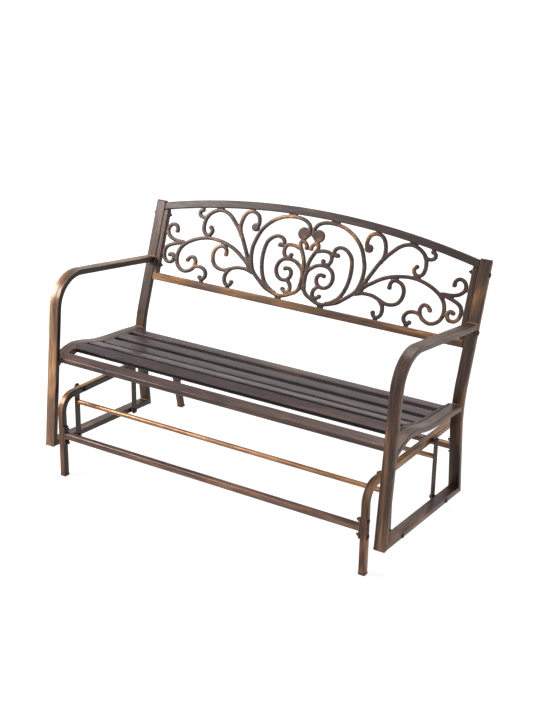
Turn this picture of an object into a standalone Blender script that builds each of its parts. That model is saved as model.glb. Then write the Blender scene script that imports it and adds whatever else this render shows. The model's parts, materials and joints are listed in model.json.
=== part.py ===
"""Two-seat outdoor glider bench in antique bronze steel.

A fixed base of two bent tube frames carries four hanger arms, and the seat, with its side frames,
slats and scrolled back panel, hangs from them and glides fore and aft.
Metres, +Z up, front towards -Y, origin on the floor midway between the feet.
"""

from math import atan, atan2, ceil, cos, degrees, hypot, pi, radians, sin, sqrt, tan

import bmesh
import bpy
from mathutils import Matrix, Vector

# Overall and fits
OVERALL_WIDTH = 1.270
TOUCH_GAP = 0.0003
HOLE_CLEARANCE = 0.0004
OPEN_PIVOT_CLEARANCE = 0.0010
DRILL_RUN = 0.004
SMOOTH_ANGLE = 40
SIDES = (("left", -1), ("right", 1))

# Base frames: one square tube bent into two legs and a rail on each side
BASE_TUBE = 0.022
BASE_CORNER = 0.0025
BASE_BEND_RADIUS = 0.051
BASE_BEND_STEPS = 7
HANGER_SPACE = 0.023
FRONT_LEG_Y = -0.337
RAIL_HEIGHT_AT_FRONT = 0.2828
RAIL_FALL = 0.038
REAR_FOOT_Y = 0.3367
REAR_LEG_SPLAY = 0.230
FOOT_CAP_HEIGHT = 0.006
FOOT_CAP_RIM = 0.0008

# Crossbars between the base frames, with a bolted plate at each end
CROSSBAR_TUBE = 0.020
CROSSBAR_HEIGHT = 0.150
PLATE_LENGTH = 0.066
PLATE_WIDTH = 0.022
PLATE_THICKNESS = 0.004
PLATE_CORNER = 0.0005
PLATE_BOLT_SPACING = 0.050

# Hangers: flat arms with a round bar joining each pair
ARM_BAR_WIDTH = 0.024
ARM_BAR_THICKNESS = 0.005
ARM_BAR_INSET = 0.007
ARM_END_STEPS = 8
FRONT_HANGER_Y = -0.2305
REAR_HANGER_Y = 0.0805
HANGER_BAR_RADIUS = 0.008
HANGER_BAR_DROP = 0.054
HANGER_BAR_SIDES = 16

# Seat side frames: wide flat tube, with posts, armrest and lower rail
SIDE_TUBE_WIDTH = 0.038
SIDE_TUBE_DEPTH = 0.019
SIDE_CORNER = 0.0025
FRONT_POST_FOOT_Y = -0.3475
FRONT_POST_FOOT_Z = 0.098
FRONT_POST_LEAN = 0.108
ARM_TOP_AT_FRONT = 0.6914
ARM_FALL = 0.151
ARM_BEND_RADIUS = 0.1055
ARM_BEND_STEPS = 10
SLED_FALL = 0.080
REAR_POST_FOOT_Y = 0.1975
REAR_POST_LEAN = 0.098
BACK_TOP_Y = 0.3035
BACK_TOP_Z = 0.803
BACK_RECLINE = 0.350
BACK_BEND_RADIUS = 0.350
BACK_BEND_STEPS = 6
POST_CAP_THICKNESS = 0.0025

# Seat: shaped side rails and side bars, a front rail, slats and a rear rail
SEAT_PROFILE = [
    (-0.297, 0.396),
    (-0.250, 0.413),
    (-0.200, 0.421),
    (-0.139, 0.410),
    (-0.080, 0.3945),
    (0.000, 0.3845),
    (0.080, 0.3775),
    (0.160, 0.3680),
]
SEAT_RAIL_DEPTH = 0.018
SEAT_RAIL_STEPS = 14
SEAT_BAR_WIDTH = 0.010
SEAT_BAR_DEPTH = 0.020
SEAT_BAR_CORNER = 0.00125
SEAT_BAR_STEPS = 13
SEAT_SLOPE_REACH = 0.004
FRONT_RAIL_Y = -0.2795
FRONT_RAIL_RISE = 0.0045
FRONT_RAIL_TILT = 0.205
FRONT_RAIL_WIDTH = 0.040
FRONT_RAIL_DEPTH = 0.020
SLAT_COUNT = 4
FIRST_SLAT_Y = -0.2085
SLAT_PITCH = 0.0775
SLAT_WIDTH = 0.050
SLAT_DEPTH = 0.015
SLAT_CORNER = 0.0020
REAR_RAIL_WIDTH = 0.045

# Back panel, measured along the recline from its datum height
PANEL_DATUM_Z = 0.600
PANEL_TUBE_DEPTH = 0.019
PANEL_SIDE_WIDTH = 0.019
PANEL_BOTTOM_LOW = -0.068
PANEL_BOTTOM_HEIGHT = 0.026
PANEL_TOP_CROWN = 0.275
PANEL_TOP_HEIGHT = 0.026
PANEL_ARCH_RISE = 0.0655
PANEL_CORNER = 0.0020
ARCH_STEPS = 20
PANEL_BOLT_HIGH = 0.168
PANEL_BOLT_LOW = -0.013

# Scroll castings, drawn for a panel of a given half width between its side tubes
SCROLL_DRAWN_REACH = 0.5777
STROKE_WIDTH = 0.0110
STROKE_DEPTH = 0.0120
STROKE_CHAMFER = 0.0030
STROKE_SETBACK = 0.0020
STROKE_RELIEF = 0.0003
PAD_RELIEF = 0.0020
STROKE_TURN = radians(42)
STROKE_END_REACH = 0.0044
STROKE_END_WIDTH = 0.0055

# Fasteners
BOLT_RADIUS = 0.0038
BOLT_HEAD_RADIUS = 0.0075
BOLT_HEAD_HEIGHT = 0.0050
BOLT_SIDES = 6
HOLE_SIDES = 8
NUT_RADIUS = 0.0072
NUT_HEIGHT = 0.0058
THREAD_STANDOUT = 0.0050
PIVOT_STANDOUT = 0.0010
SPACER_RADIUS = 0.0080

# Right half of the scrollwork: each stroke's centre line as (x, height above the datum)
SCROLL_STROKES = {
    "outer_loop": [
        (0.0082, 0.1880), (0.0070, 0.2000), (0.0090, 0.2130), (0.0180, 0.2255), (0.0350, 0.2345),
        (0.0570, 0.2385), (0.0800, 0.2385), (0.1020, 0.2355), (0.1220, 0.2300), (0.1420, 0.2205),
        (0.1600, 0.2085), (0.1780, 0.1920), (0.1900, 0.1770), (0.1990, 0.1600), (0.2068, 0.1400),
        (0.2128, 0.1200), (0.2145, 0.1000), (0.2130, 0.0800), (0.2085, 0.0600), (0.2010, 0.0400),
        (0.1905, 0.0265), (0.1800, 0.0170), (0.1600, 0.0015), (0.1400, -0.0130), (0.1200, -0.0210),
        (0.1000, -0.0270), (0.0800, -0.0300), (0.0600, -0.0270), (0.0400, -0.0178), (0.0220, -0.0085),
        (0.0105, 0.0050), (0.0072, 0.0200),
    ],
    "inner_loop": [
        (0.1125, 0.1375), (0.1045, 0.1365), (0.0975, 0.1410), (0.0958, 0.1500), (0.1005, 0.1590),
        (0.1115, 0.1648), (0.1245, 0.1658), (0.1380, 0.1612), (0.1505, 0.1522), (0.1610, 0.1390),
        (0.1665, 0.1200), (0.1690, 0.1000), (0.1688, 0.0800), (0.1665, 0.0600), (0.1615, 0.0400),
        (0.1535, 0.0200), (0.1425, 0.0030), (0.1300, -0.0085), (0.1150, -0.0180), (0.1000, -0.0245),
    ],
    "heart_scroll": [
        (0.0068, 0.0080), (0.0060, 0.0350), (0.0068, 0.0580), (0.0125, 0.0715), (0.0230, 0.0815),
        (0.0400, 0.0925), (0.0600, 0.0968), (0.0800, 0.0950), (0.0925, 0.0895), (0.1020, 0.0800),
        (0.1070, 0.0680), (0.1080, 0.0555), (0.1040, 0.0420), (0.0940, 0.0300), (0.0790, 0.0240),
        (0.0640, 0.0265), (0.0535, 0.0345), (0.0488, 0.0470), (0.0512, 0.0585), (0.0592, 0.0650),
        (0.0680, 0.0655), (0.0750, 0.0630),
    ],
    "lower_curl": [
        (0.0620, 0.0262), (0.0525, 0.0205), (0.0455, 0.0110), (0.0435, 0.0000), (0.0465, -0.0090),
        (0.0545, -0.0132), (0.0635, -0.0115), (0.0710, -0.0050),
    ],
    "upper_curl": [
        (0.0350, 0.1390), (0.0490, 0.1435), (0.0650, 0.1450), (0.0800, 0.1425), (0.0882, 0.1345),
        (0.0905, 0.1220), (0.0880, 0.1105), (0.0805, 0.1030), (0.0705, 0.1015), (0.0635, 0.1055),
        (0.0612, 0.1130),
    ],
    "centre_hook": [
        (0.0064, 0.0700), (0.0090, 0.0960), (0.0180, 0.1200), (0.0280, 0.1380), (0.0340, 0.1500),
        (0.0330, 0.1600), (0.0250, 0.1640), (0.0160, 0.1600), (0.0095, 0.1520), (0.0078, 0.1430),
    ],
    "disc_loop": [
        (0.2060, 0.1900), (0.2065, 0.2060), (0.2130, 0.2215), (0.2250, 0.2292), (0.2390, 0.2315),
        (0.2525, 0.2285), (0.2635, 0.2195), (0.2708, 0.2060), (0.2750, 0.1900), (0.2762, 0.1740),
        (0.2728, 0.1580), (0.2660, 0.1430),
    ],
    "high_branch": [
        (0.2150, 0.0480), (0.2290, 0.0780), (0.2405, 0.1000), (0.2515, 0.1200), (0.2630, 0.1400),
        (0.2785, 0.1600), (0.2900, 0.1735), (0.3000, 0.1835), (0.3100, 0.1935), (0.3200, 0.2020),
        (0.3350, 0.2105), (0.3525, 0.2155), (0.3700, 0.2155), (0.3860, 0.2105), (0.4010, 0.2020),
        (0.4135, 0.1900), (0.4205, 0.1755), (0.4230, 0.1600), (0.4225, 0.1455), (0.4175, 0.1315),
        (0.4075, 0.1245), (0.3960, 0.1250), (0.3880, 0.1320), (0.3855, 0.1425), (0.3940, 0.1525),
    ],
    "top_curl": [
        (0.4150, 0.1850), (0.4275, 0.1815), (0.4400, 0.1830), (0.4478, 0.1890), (0.4485, 0.1980),
        (0.4440, 0.2040), (0.4375, 0.2062),
    ],
    "long_branch": [
        (0.2130, 0.0400), (0.2220, 0.0510), (0.2350, 0.0625), (0.2500, 0.0720), (0.2650, 0.0825),
        (0.2800, 0.0910), (0.3000, 0.1000), (0.3250, 0.1075), (0.3500, 0.1120), (0.3750, 0.1143),
        (0.4000, 0.1130), (0.4200, 0.1093), (0.4400, 0.1035), (0.4600, 0.0950), (0.4780, 0.0850),
        (0.4925, 0.0735), (0.5035, 0.0600), (0.5100, 0.0440), (0.5118, 0.0280), (0.5090, 0.0115),
        (0.5015, -0.0020), (0.4880, -0.0125), (0.4710, -0.0168), (0.4550, -0.0125), (0.4420, -0.0045),
        (0.4340, 0.0070), (0.4310, 0.0190), (0.4335, 0.0300), (0.4410, 0.0375), (0.4505, 0.0378),
        (0.4600, 0.0320), (0.4655, 0.0235),
    ],
    "lower_hook": [
        (0.4340, 0.0055), (0.4220, 0.0085), (0.4090, 0.0092), (0.3965, 0.0060), (0.3870, -0.0010),
        (0.3820, -0.0110), (0.3830, -0.0215), (0.3900, -0.0300), (0.3990, -0.0310), (0.4045, -0.0255),
    ],
    "side_curl": [
        (0.4850, 0.0800), (0.5000, 0.0835), (0.5150, 0.0835), (0.5300, 0.0850), (0.5450, 0.0885),
        (0.5570, 0.0955), (0.5655, 0.1055), (0.5680, 0.1175), (0.5632, 0.1300), (0.5535, 0.1375),
        (0.5420, 0.1385), (0.5330, 0.1330), (0.5290, 0.1240), (0.5295, 0.1165),
    ],
    "side_lower_curl": [
        (0.5050, 0.0790), (0.5200, 0.0750), (0.5350, 0.0700), (0.5500, 0.0640), (0.5610, 0.0560),
        (0.5668, 0.0450), (0.5675, 0.0300), (0.5630, 0.0165), (0.5530, 0.0065), (0.5405, 0.0045),
        (0.5300, 0.0080), (0.5252, 0.0180), (0.5262, 0.0280), (0.5315, 0.0340), (0.5385, 0.0338),
        (0.5437, 0.0295),
    ],
    "low_branch": [
        (0.1980, 0.0265), (0.2200, 0.0330), (0.2400, 0.0345), (0.2600, 0.0330), (0.2770, 0.0280),
        (0.2930, 0.0215), (0.3080, 0.0165), (0.3220, 0.0152), (0.3370, 0.0180), (0.3500, 0.0245),
        (0.3590, 0.0350), (0.3645, 0.0490), (0.3655, 0.0640), (0.3615, 0.0780), (0.3530, 0.0880),
        (0.3420, 0.0935), (0.3300, 0.0955), (0.3198, 0.0915), (0.3138, 0.0820), (0.3135, 0.0685),
    ],
    "pad_curl": [
        (0.2840, 0.0250), (0.2945, 0.0150), (0.3018, 0.0030), (0.3035, -0.0100), (0.3010, -0.0220),
        (0.2935, -0.0308), (0.2840, -0.0330), (0.2757, -0.0280), (0.2725, -0.0185),
    ],
}
# Flat discs at the curl ends: x, height above the datum, radius
SCROLL_DISCS = [(0.0285, 0.1895, 0.0215), (0.2165, 0.1805, 0.0145), (0.1085, 0.1385, 0.0085)]
# Feet that meet the panel's tubes: centre, width and how far into the stroke they start
TOP_PADS = [
    (0.082, 0.030, 0.2380),
    (0.240, 0.016, 0.2320),
    (0.368, 0.028, 0.2160),
    (0.438, 0.012, 0.2060),
]
BOTTOM_PADS = [(0.082, 0.022, -0.0300), (0.285, 0.014, -0.0330), (0.3945, 0.014, -0.0310)]
SIDE_PADS = [(0.1075, 0.010, 0.5660), (0.0370, 0.010, 0.5665)]
DISC_SIDES = 16

# Where the pieces lie across the bench
SIDE_OUTER_X = OVERALL_WIDTH / 2
SIDE_INNER_X = SIDE_OUTER_X - SIDE_TUBE_WIDTH
BASE_OUTER_X = SIDE_INNER_X - HANGER_SPACE
BASE_INNER_X = BASE_OUTER_X - BASE_TUBE
ARM_OUTER_X = SIDE_INNER_X - ARM_BAR_INSET
ARM_INNER_X = ARM_OUTER_X - ARM_BAR_THICKNESS
SEAT_BAR_INNER_X = SIDE_INNER_X - TOUCH_GAP - SEAT_BAR_WIDTH
PANEL_SIDE_OUTER_X = SIDE_INNER_X - TOUCH_GAP
PANEL_SIDE_INNER_X = PANEL_SIDE_OUTER_X - PANEL_SIDE_WIDTH
PANEL_ARCH_RADIUS = (PANEL_SIDE_OUTER_X**2 + PANEL_ARCH_RISE**2) / (2 * PANEL_ARCH_RISE)
SCROLL_STRETCH = PANEL_SIDE_INNER_X / SCROLL_DRAWN_REACH
BASE_CENTRE_X = (BASE_OUTER_X + BASE_INNER_X) / 2
SIDE_CENTRE_X = (SIDE_OUTER_X + SIDE_INNER_X) / 2
HOLE_RADIUS = BOLT_RADIUS + HOLE_CLEARANCE
OPEN_HOLE_RADIUS = HOLE_RADIUS + OPEN_PIVOT_CLEARANCE


class Line:
    """A straight line in a side view, as a point and a unit direction in (y, z)."""

    def __init__(self, y, z, along_y, along_z):
        size = hypot(along_y, along_z)
        self.y = y
        self.z = z
        self.dy = along_y / size
        self.dz = along_z / size

    def left(self, distance):
        """The same line moved to the left of its direction."""
        return Line(self.y - self.dz * distance, self.z + self.dy * distance, self.dy, self.dz)

    def meet(self, other):
        """The point where two lines cross."""
        cross = self.dy * other.dz - self.dz * other.dy
        step = ((other.y - self.y) * other.dz - (other.z - self.z) * other.dy) / cross
        return (self.y + self.dy * step, self.z + self.dz * step)

    def at_height(self, z):
        """The point of the line at a height."""
        step = (z - self.z) / self.dz
        return (self.y + self.dy * step, z)

    def at_y(self, y):
        """The point of the line at a distance from front to back."""
        step = (y - self.y) / self.dy
        return (y, self.z + self.dz * step)


# Centre lines of the base frame
FRONT_LEG = Line(FRONT_LEG_Y, 0.0, 0.0, 1.0)
BASE_RAIL = Line(FRONT_LEG_Y, RAIL_HEIGHT_AT_FRONT, 1.0, -RAIL_FALL)
REAR_LEG = Line(REAR_FOOT_Y, 0.0, -REAR_LEG_SPLAY, 1.0)

# Faces and centre lines of the seat's side frame, each line running up or rearward
HALF_SIDE = SIDE_TUBE_DEPTH / 2
SLED_BOTTOM = Line(FRONT_POST_FOOT_Y, FRONT_POST_FOOT_Z, 1.0, -SLED_FALL)
SLED = SLED_BOTTOM.left(HALF_SIDE)
FRONT_POST_FACE = Line(FRONT_POST_FOOT_Y, FRONT_POST_FOOT_Z, FRONT_POST_LEAN, 1.0)
FRONT_POST = FRONT_POST_FACE.left(-HALF_SIDE)
ARM_TOP = Line(FRONT_POST_FACE.at_height(ARM_TOP_AT_FRONT)[0], ARM_TOP_AT_FRONT, 1.0, -ARM_FALL)
ARM = ARM_TOP.left(-HALF_SIDE)
LOWER_POST_REAR = Line(*SLED_BOTTOM.at_y(REAR_POST_FOOT_Y), -REAR_POST_LEAN, 1.0)
LOWER_POST = LOWER_POST_REAR.left(HALF_SIDE)
BACK_FACE = Line(BACK_TOP_Y, BACK_TOP_Z, BACK_RECLINE, 1.0)
BACK_POST = BACK_FACE.left(-HALF_SIDE)

# Hanger pivots
FRONT_UPPER = BASE_RAIL.at_y(FRONT_HANGER_Y)
FRONT_LOWER = SLED.at_y(FRONT_HANGER_Y)
REAR_UPPER = BASE_RAIL.at_y(REAR_HANGER_Y)
REAR_LOWER = SLED.at_y(REAR_HANGER_Y)


def clear_scene():
    for item in list(bpy.data.objects):
        bpy.data.objects.remove(item, do_unlink=True)


def make_material(name, colour, roughness, metallic):
    material = bpy.data.materials.new(name)
    material.use_nodes = True
    shader = material.node_tree.nodes["Principled BSDF"]
    shader.inputs["Base Color"].default_value = (*colour, 1.0)
    shader.inputs["Roughness"].default_value = roughness
    shader.inputs["Metallic"].default_value = metallic
    material.diffuse_color = (*colour, 1.0)
    return material


def make_empty(name, point, parent=None):
    """An empty on a joint's axis, at a point of the side view."""
    empty = bpy.data.objects.new(name, None)
    bpy.context.collection.objects.link(empty)
    empty.empty_display_size = 0.05
    here = Vector((0.0, *point))
    if parent:
        empty.parent = parent
        here -= parent.location
        up = parent.parent
        while up:
            here -= up.location
            up = up.parent
    empty.location = here
    return empty


def world_place(empty):
    place = Vector(empty.location)
    up = empty.parent
    while up:
        place += up.location
        up = up.parent
    return place


def finish(name, bm, material, body, smooth=False):
    """Turns a bmesh in world coordinates into an object that rides on its body's empty."""
    bmesh.ops.recalc_face_normals(bm, faces=bm.faces[:])
    mesh = bpy.data.meshes.new(name)
    bm.to_mesh(mesh)
    bm.free()
    mesh.materials.append(material)
    if smooth:
        mesh.shade_smooth()
        mesh.set_sharp_from_angle(angle=radians(SMOOTH_ANGLE))
    piece = bpy.data.objects.new(name, mesh)
    bpy.context.collection.objects.link(piece)
    if body:
        piece.parent = body
        piece.matrix_parent_inverse = Matrix.Translation(-world_place(body))
    return piece


def hide_operand(piece):
    piece.hide_render = True
    piece.display_type = "WIRE"


def mirror_if(bm, side):
    """Left pieces are the right ones seen in the middle plane."""
    if side < 0:
        bmesh.ops.scale(bm, vec=(-1.0, 1.0, 1.0), verts=bm.verts[:])


def tube_section(half_width, half_depth, corner):
    """A rectangle with cut corners, as (across, depth) pairs."""
    return [
        (half_width, half_depth - corner),
        (half_width - corner, half_depth),
        (corner - half_width, half_depth),
        (-half_width, half_depth - corner),
        (-half_width, corner - half_depth),
        (corner - half_width, -half_depth),
        (half_width - corner, -half_depth),
        (half_width, corner - half_depth),
    ]


def unit(a, b):
    size = hypot(b[0] - a[0], b[1] - a[1])
    return ((b[0] - a[0]) / size, (b[1] - a[1]) / size)


def add_sweep(bm, path, section, centre_x, start_cut=None, end_cut=None):
    """Sweeps a section along a path in the side view.

    A cut is the normal, in (y, z), of the plane that the end is trimmed to.
    """
    rings = []
    last = len(path) - 1
    for index, point in enumerate(path):
        before = unit(path[max(index - 1, 0)], path[max(index, 1)])
        after = unit(path[min(index, last - 1)], path[min(index + 1, last)])
        along = (before[0] + after[0], before[1] + after[1])
        size = hypot(*along)
        along = (along[0] / size, along[1] / size)
        plane = along
        if index == 0 and start_cut:
            plane = start_cut
        if index == last and end_cut:
            plane = end_cut
        travel = after if index == 0 else before
        side = (-travel[1], travel[0])
        ring = []
        for across, depth in section:
            slide = -depth * (side[0] * plane[0] + side[1] * plane[1])
            slide /= travel[0] * plane[0] + travel[1] * plane[1]
            y = point[0] + side[0] * depth + travel[0] * slide
            z = point[1] + side[1] * depth + travel[1] * slide
            ring.append(bm.verts.new((centre_x + across, y, z)))
        rings.append(ring)
    count = len(section)
    for first, second in zip(rings, rings[1:]):
        for k in range(count):
            n = (k + 1) % count
            bm.faces.new((first[k], first[n], second[n], second[k]))
    bm.faces.new(rings[0][::-1])
    bm.faces.new(rings[-1])


def fillet(corners, radius, steps):
    """The path through the corners, with each inner corner turned into an arc."""
    path = [corners[0]]
    for before, corner, after in zip(corners, corners[1:], corners[2:]):
        come = unit(before, corner)
        go = unit(corner, after)
        turn = atan2(come[0] * go[1] - come[1] * go[0], come[0] * go[0] + come[1] * go[1])
        reach = radius * tan(abs(turn) / 2)
        start = (corner[0] - come[0] * reach, corner[1] - come[1] * reach)
        hand = 1.0 if turn > 0 else -1.0
        centre = (start[0] - come[1] * radius * hand, start[1] + come[0] * radius * hand)
        arm = (start[0] - centre[0], start[1] - centre[1])
        for step in range(steps + 1):
            angle = turn * step / steps
            y = centre[0] + arm[0] * cos(angle) - arm[1] * sin(angle)
            z = centre[1] + arm[0] * sin(angle) + arm[1] * cos(angle)
            path.append((y, z))
    path.append(corners[-1])
    return path


def shift(point, direction, distance):
    return (point[0] + direction[0] * distance, point[1] + direction[1] * distance)


def add_lathe(bm, profile, y, z, sides):
    """A turned solid on an axis along X. The profile is (x, radius), closed by flat ends."""
    rings = []
    for x, radius in profile:
        ring = []
        for k in range(sides):
            angle = 2 * pi * (k + 0.5) / sides
            ring.append(bm.verts.new((x, y + radius * cos(angle), z + radius * sin(angle))))
        rings.append(ring)
    for first, second in zip(rings, rings[1:]):
        for k in range(sides):
            n = (k + 1) % sides
            bm.faces.new((first[k], first[n], second[n], second[k]))
    bm.faces.new(rings[0][::-1])
    bm.faces.new(rings[-1])


def make_fastener(name, head_x, nut_x, standout, y, z, side, material, body, collar=None):
    """A bolt along X with its nut, and any spacer collar, as one solid seated on both sides."""
    tip_x = nut_x - NUT_HEIGHT - standout
    seat = head_x + TOUCH_GAP
    profile = [
        (tip_x, BOLT_RADIUS),
        (nut_x - NUT_HEIGHT, BOLT_RADIUS),
        (nut_x - NUT_HEIGHT, NUT_RADIUS),
        (nut_x, NUT_RADIUS),
        (nut_x, BOLT_RADIUS),
    ]
    if collar:
        profile += [
            (collar[0], BOLT_RADIUS),
            (collar[0], SPACER_RADIUS),
            (collar[1], SPACER_RADIUS),
            (collar[1], BOLT_RADIUS),
        ]
    profile += [
        (seat, BOLT_RADIUS),
        (seat, BOLT_HEAD_RADIUS),
        (seat + BOLT_HEAD_HEIGHT / 2, BOLT_HEAD_RADIUS),
        (seat + BOLT_HEAD_HEIGHT, BOLT_HEAD_RADIUS / 2),
    ]
    bm = bmesh.new()
    add_lathe(bm, profile, y, z, BOLT_SIDES)
    mirror_if(bm, side)
    return finish(name, bm, material, body)


def drill(piece, low_x, high_x, holes, side):
    """Cuts bolt holes along X through a piece. Each hole is (y, z, radius)."""
    bm = bmesh.new()
    for y, z, radius in holes:
        add_lathe(bm, [(low_x, radius), (high_x, radius)], y, z, HOLE_SIDES)
    mirror_if(bm, side)
    cutter = finish(piece.name + "_drill", bm, piece.data.materials[0], piece.parent)
    hide_operand(cutter)
    cut = piece.modifiers.new("drill", "BOOLEAN")
    cut.operation = "DIFFERENCE"
    cut.solver = "EXACT"
    cut.object = cutter


def along_leg(leg, height, distance):
    """A point on a leg's centre line, a distance up the leg from a height."""
    centre = leg.at_height(height)
    return (centre[0] + leg.dy * distance, centre[1] + leg.dz * distance)


def plate_bolt_points():
    points = []
    for leg in (FRONT_LEG, REAR_LEG):
        for hand in (-1, 1):
            points.append(along_leg(leg, CROSSBAR_HEIGHT, hand * PLATE_BOLT_SPACING / 2))
    return points


def build_base(paint, black, rubber):
    section = tube_section(BASE_TUBE / 2, BASE_TUBE / 2, BASE_CORNER)
    foot_z = FOOT_CAP_HEIGHT + TOUCH_GAP
    corners = [
        FRONT_LEG.at_height(foot_z),
        FRONT_LEG.meet(BASE_RAIL),
        BASE_RAIL.meet(REAR_LEG),
        REAR_LEG.at_height(foot_z),
    ]
    path = fillet(corners, BASE_BEND_RADIUS, BASE_BEND_STEPS)
    for word, side in SIDES:
        bm = bmesh.new()
        add_sweep(bm, path, section, BASE_CENTRE_X, end_cut=(0.0, -1.0))
        mirror_if(bm, side)
        frame = finish(f"base_frame_{word}", bm, paint, None, smooth=True)
        holes = [(*point, HOLE_RADIUS) for point in plate_bolt_points() + [FRONT_UPPER, REAR_UPPER]]
        drill(frame, BASE_INNER_X - DRILL_RUN, BASE_OUTER_X + DRILL_RUN, holes, side)

    half = BASE_TUBE / 2 + FOOT_CAP_RIM
    cap = tube_section(half, half, BASE_CORNER)
    plate_x = BASE_INNER_X - TOUCH_GAP
    for word, leg in (("front", FRONT_LEG), ("rear", REAR_LEG)):
        foot = leg.at_height(0.0)
        top = leg.at_height(FOOT_CAP_HEIGHT)
        for hand, side in SIDES:
            bm = bmesh.new()
            add_sweep(bm, [foot, top], cap, BASE_CENTRE_X, (0.0, 1.0), (0.0, 1.0))
            mirror_if(bm, side)
            finish(f"foot_cap_{word}_{hand}", bm, rubber, None)
        build_crossbar(word, leg, plate_x, paint)
        for level, distance in (("low", -PLATE_BOLT_SPACING / 2), ("high", PLATE_BOLT_SPACING / 2)):
            y, z = along_leg(leg, CROSSBAR_HEIGHT, distance)
            nut_x = plate_x - PLATE_THICKNESS - TOUCH_GAP
            for hand, side in SIDES:
                name = f"crossbar_bolt_{word}_{level}_{hand}"
                make_fastener(name, BASE_OUTER_X, nut_x, THREAD_STANDOUT, y, z, side, black, None)
    collar = (BASE_OUTER_X + TOUCH_GAP, ARM_INNER_X - TOUCH_GAP)
    for word, (y, z) in (("front", FRONT_UPPER), ("rear", REAR_UPPER)):
        for hand, side in SIDES:
            name = f"upper_pivot_bolt_{word}_{hand}"
            nut_x = BASE_INNER_X - TOUCH_GAP
            make_fastener(name, ARM_OUTER_X, nut_x, THREAD_STANDOUT, y, z, side, black, None, collar)


def build_crossbar(word, leg, plate_x, paint):
    """A crossbar with the plates that are welded to its ends."""
    low = along_leg(leg, CROSSBAR_HEIGHT, -PLATE_LENGTH / 2)
    high = along_leg(leg, CROSSBAR_HEIGHT, PLATE_LENGTH / 2)
    flat = tube_section(PLATE_THICKNESS / 2, PLATE_WIDTH / 2, PLATE_CORNER)
    bm = bmesh.new()
    centre = leg.at_height(CROSSBAR_HEIGHT)
    bar_end = plate_x - PLATE_THICKNESS / 2
    add_rail(bm, bar_end, centre, leg, CROSSBAR_TUBE, CROSSBAR_TUBE, BASE_CORNER)
    bar = finish(f"crossbar_{word}", bm, paint, None, smooth=True)
    for hand, side in SIDES:
        bm = bmesh.new()
        add_sweep(bm, [low, high], flat, plate_x - PLATE_THICKNESS / 2)
        mirror_if(bm, side)
        plate = finish(f"crossbar_plate_{word}_{hand}", bm, paint, None)
        hide_operand(plate)
        weld = bar.modifiers.new("weld", "BOOLEAN")
        weld.operation = "UNION"
        weld.solver = "EXACT"
        weld.object = plate
    spacing = PLATE_BOLT_SPACING / 2
    holes = [(*along_leg(leg, CROSSBAR_HEIGHT, hand * spacing), HOLE_RADIUS) for hand in (-1, 1)]
    for hand, side in SIDES:
        drill(bar, plate_x - PLATE_THICKNESS - DRILL_RUN, plate_x + DRILL_RUN, holes, side)


def add_rail(bm, half_length, centre, direction, width, depth, corner):
    """A tube along X between two side pieces, its depth running along a direction in (y, z)."""
    section = tube_section(width / 2, depth / 2, corner)
    ends = []
    for x in (-half_length, half_length):
        ring = []
        for across, high in section:
            y = centre[0] + direction.dz * across + direction.dy * high
            z = centre[1] - direction.dy * across + direction.dz * high
            ring.append(bm.verts.new((x, y, z)))
        ends.append(ring)
    count = len(section)
    for k in range(count):
        n = (k + 1) % count
        bm.faces.new((ends[0][k], ends[0][n], ends[1][n], ends[1][k]))
    bm.faces.new(ends[0][::-1])
    bm.faces.new(ends[1])


def build_hanger(word, upper, lower, lower_hole, paint, copper, body):
    """Two flat arms with round ends, and the round bar that joins them."""
    up = unit(lower, upper)
    radius = ARM_BAR_WIDTH / 2
    angle = atan2(up[1], up[0])
    outline = []
    for centre, start in ((upper, angle - pi / 2), (lower, angle + pi / 2)):
        for step in range(ARM_END_STEPS + 1):
            turn = start + pi * step / ARM_END_STEPS
            outline.append((centre[0] + radius * cos(turn), centre[1] + radius * sin(turn)))
    for hand, side in SIDES:
        bm = bmesh.new()
        add_plate(bm, outline, ARM_INNER_X, ARM_OUTER_X)
        mirror_if(bm, side)
        arm = finish(f"{word}_arm_{hand}", bm, paint, body)
        holes = [(*upper, HOLE_RADIUS), (*lower, lower_hole)]
        drill(arm, ARM_INNER_X - DRILL_RUN, ARM_OUTER_X + DRILL_RUN, holes, side)
    end_x = ARM_INNER_X - TOUCH_GAP
    centre = shift(upper, up, -HANGER_BAR_DROP)
    bar = [(-end_x, HANGER_BAR_RADIUS), (end_x, HANGER_BAR_RADIUS)]
    bm = bmesh.new()
    add_lathe(bm, bar, *centre, HANGER_BAR_SIDES)
    finish(f"{word}_hanger_bar", bm, copper, body, smooth=True)


def add_plate(bm, outline, low_x, high_x):
    """A flat plate across X with an outline in (y, z)."""
    rings = [[bm.verts.new((x, y, z)) for y, z in outline] for x in (low_x, high_x)]
    count = len(outline)
    for k in range(count):
        n = (k + 1) % count
        bm.faces.new((rings[0][k], rings[0][n], rings[1][n], rings[1][k]))
    bm.faces.new(rings[0][::-1])
    bm.faces.new(rings[1])


def seat_top(y):
    """The height of the seat's upper surface, a smooth curve through the profile's points."""
    points = SEAT_PROFILE
    last = len(points) - 2
    index = 0
    while index < last and y > points[index + 1][0]:
        index += 1
    slopes = []
    for k in (index, index + 1):
        before = points[max(k - 1, 0)]
        after = points[min(k + 1, len(points) - 1)]
        slopes.append((after[1] - before[1]) / (after[0] - before[0]))
    (y0, z0), (y1, z1) = points[index], points[index + 1]
    width = y1 - y0
    t = (y - y0) / width
    if t < 0:
        return z0 + slopes[0] * (y - y0)
    if t > 1:
        return z1 + slopes[1] * (y - y1)
    rise = (2 * t**3 - 3 * t**2 + 1) * z0 + (3 * t**2 - 2 * t**3) * z1
    return rise + width * ((t**3 - 2 * t**2 + t) * slopes[0] + (t**3 - t**2) * slopes[1])


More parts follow.
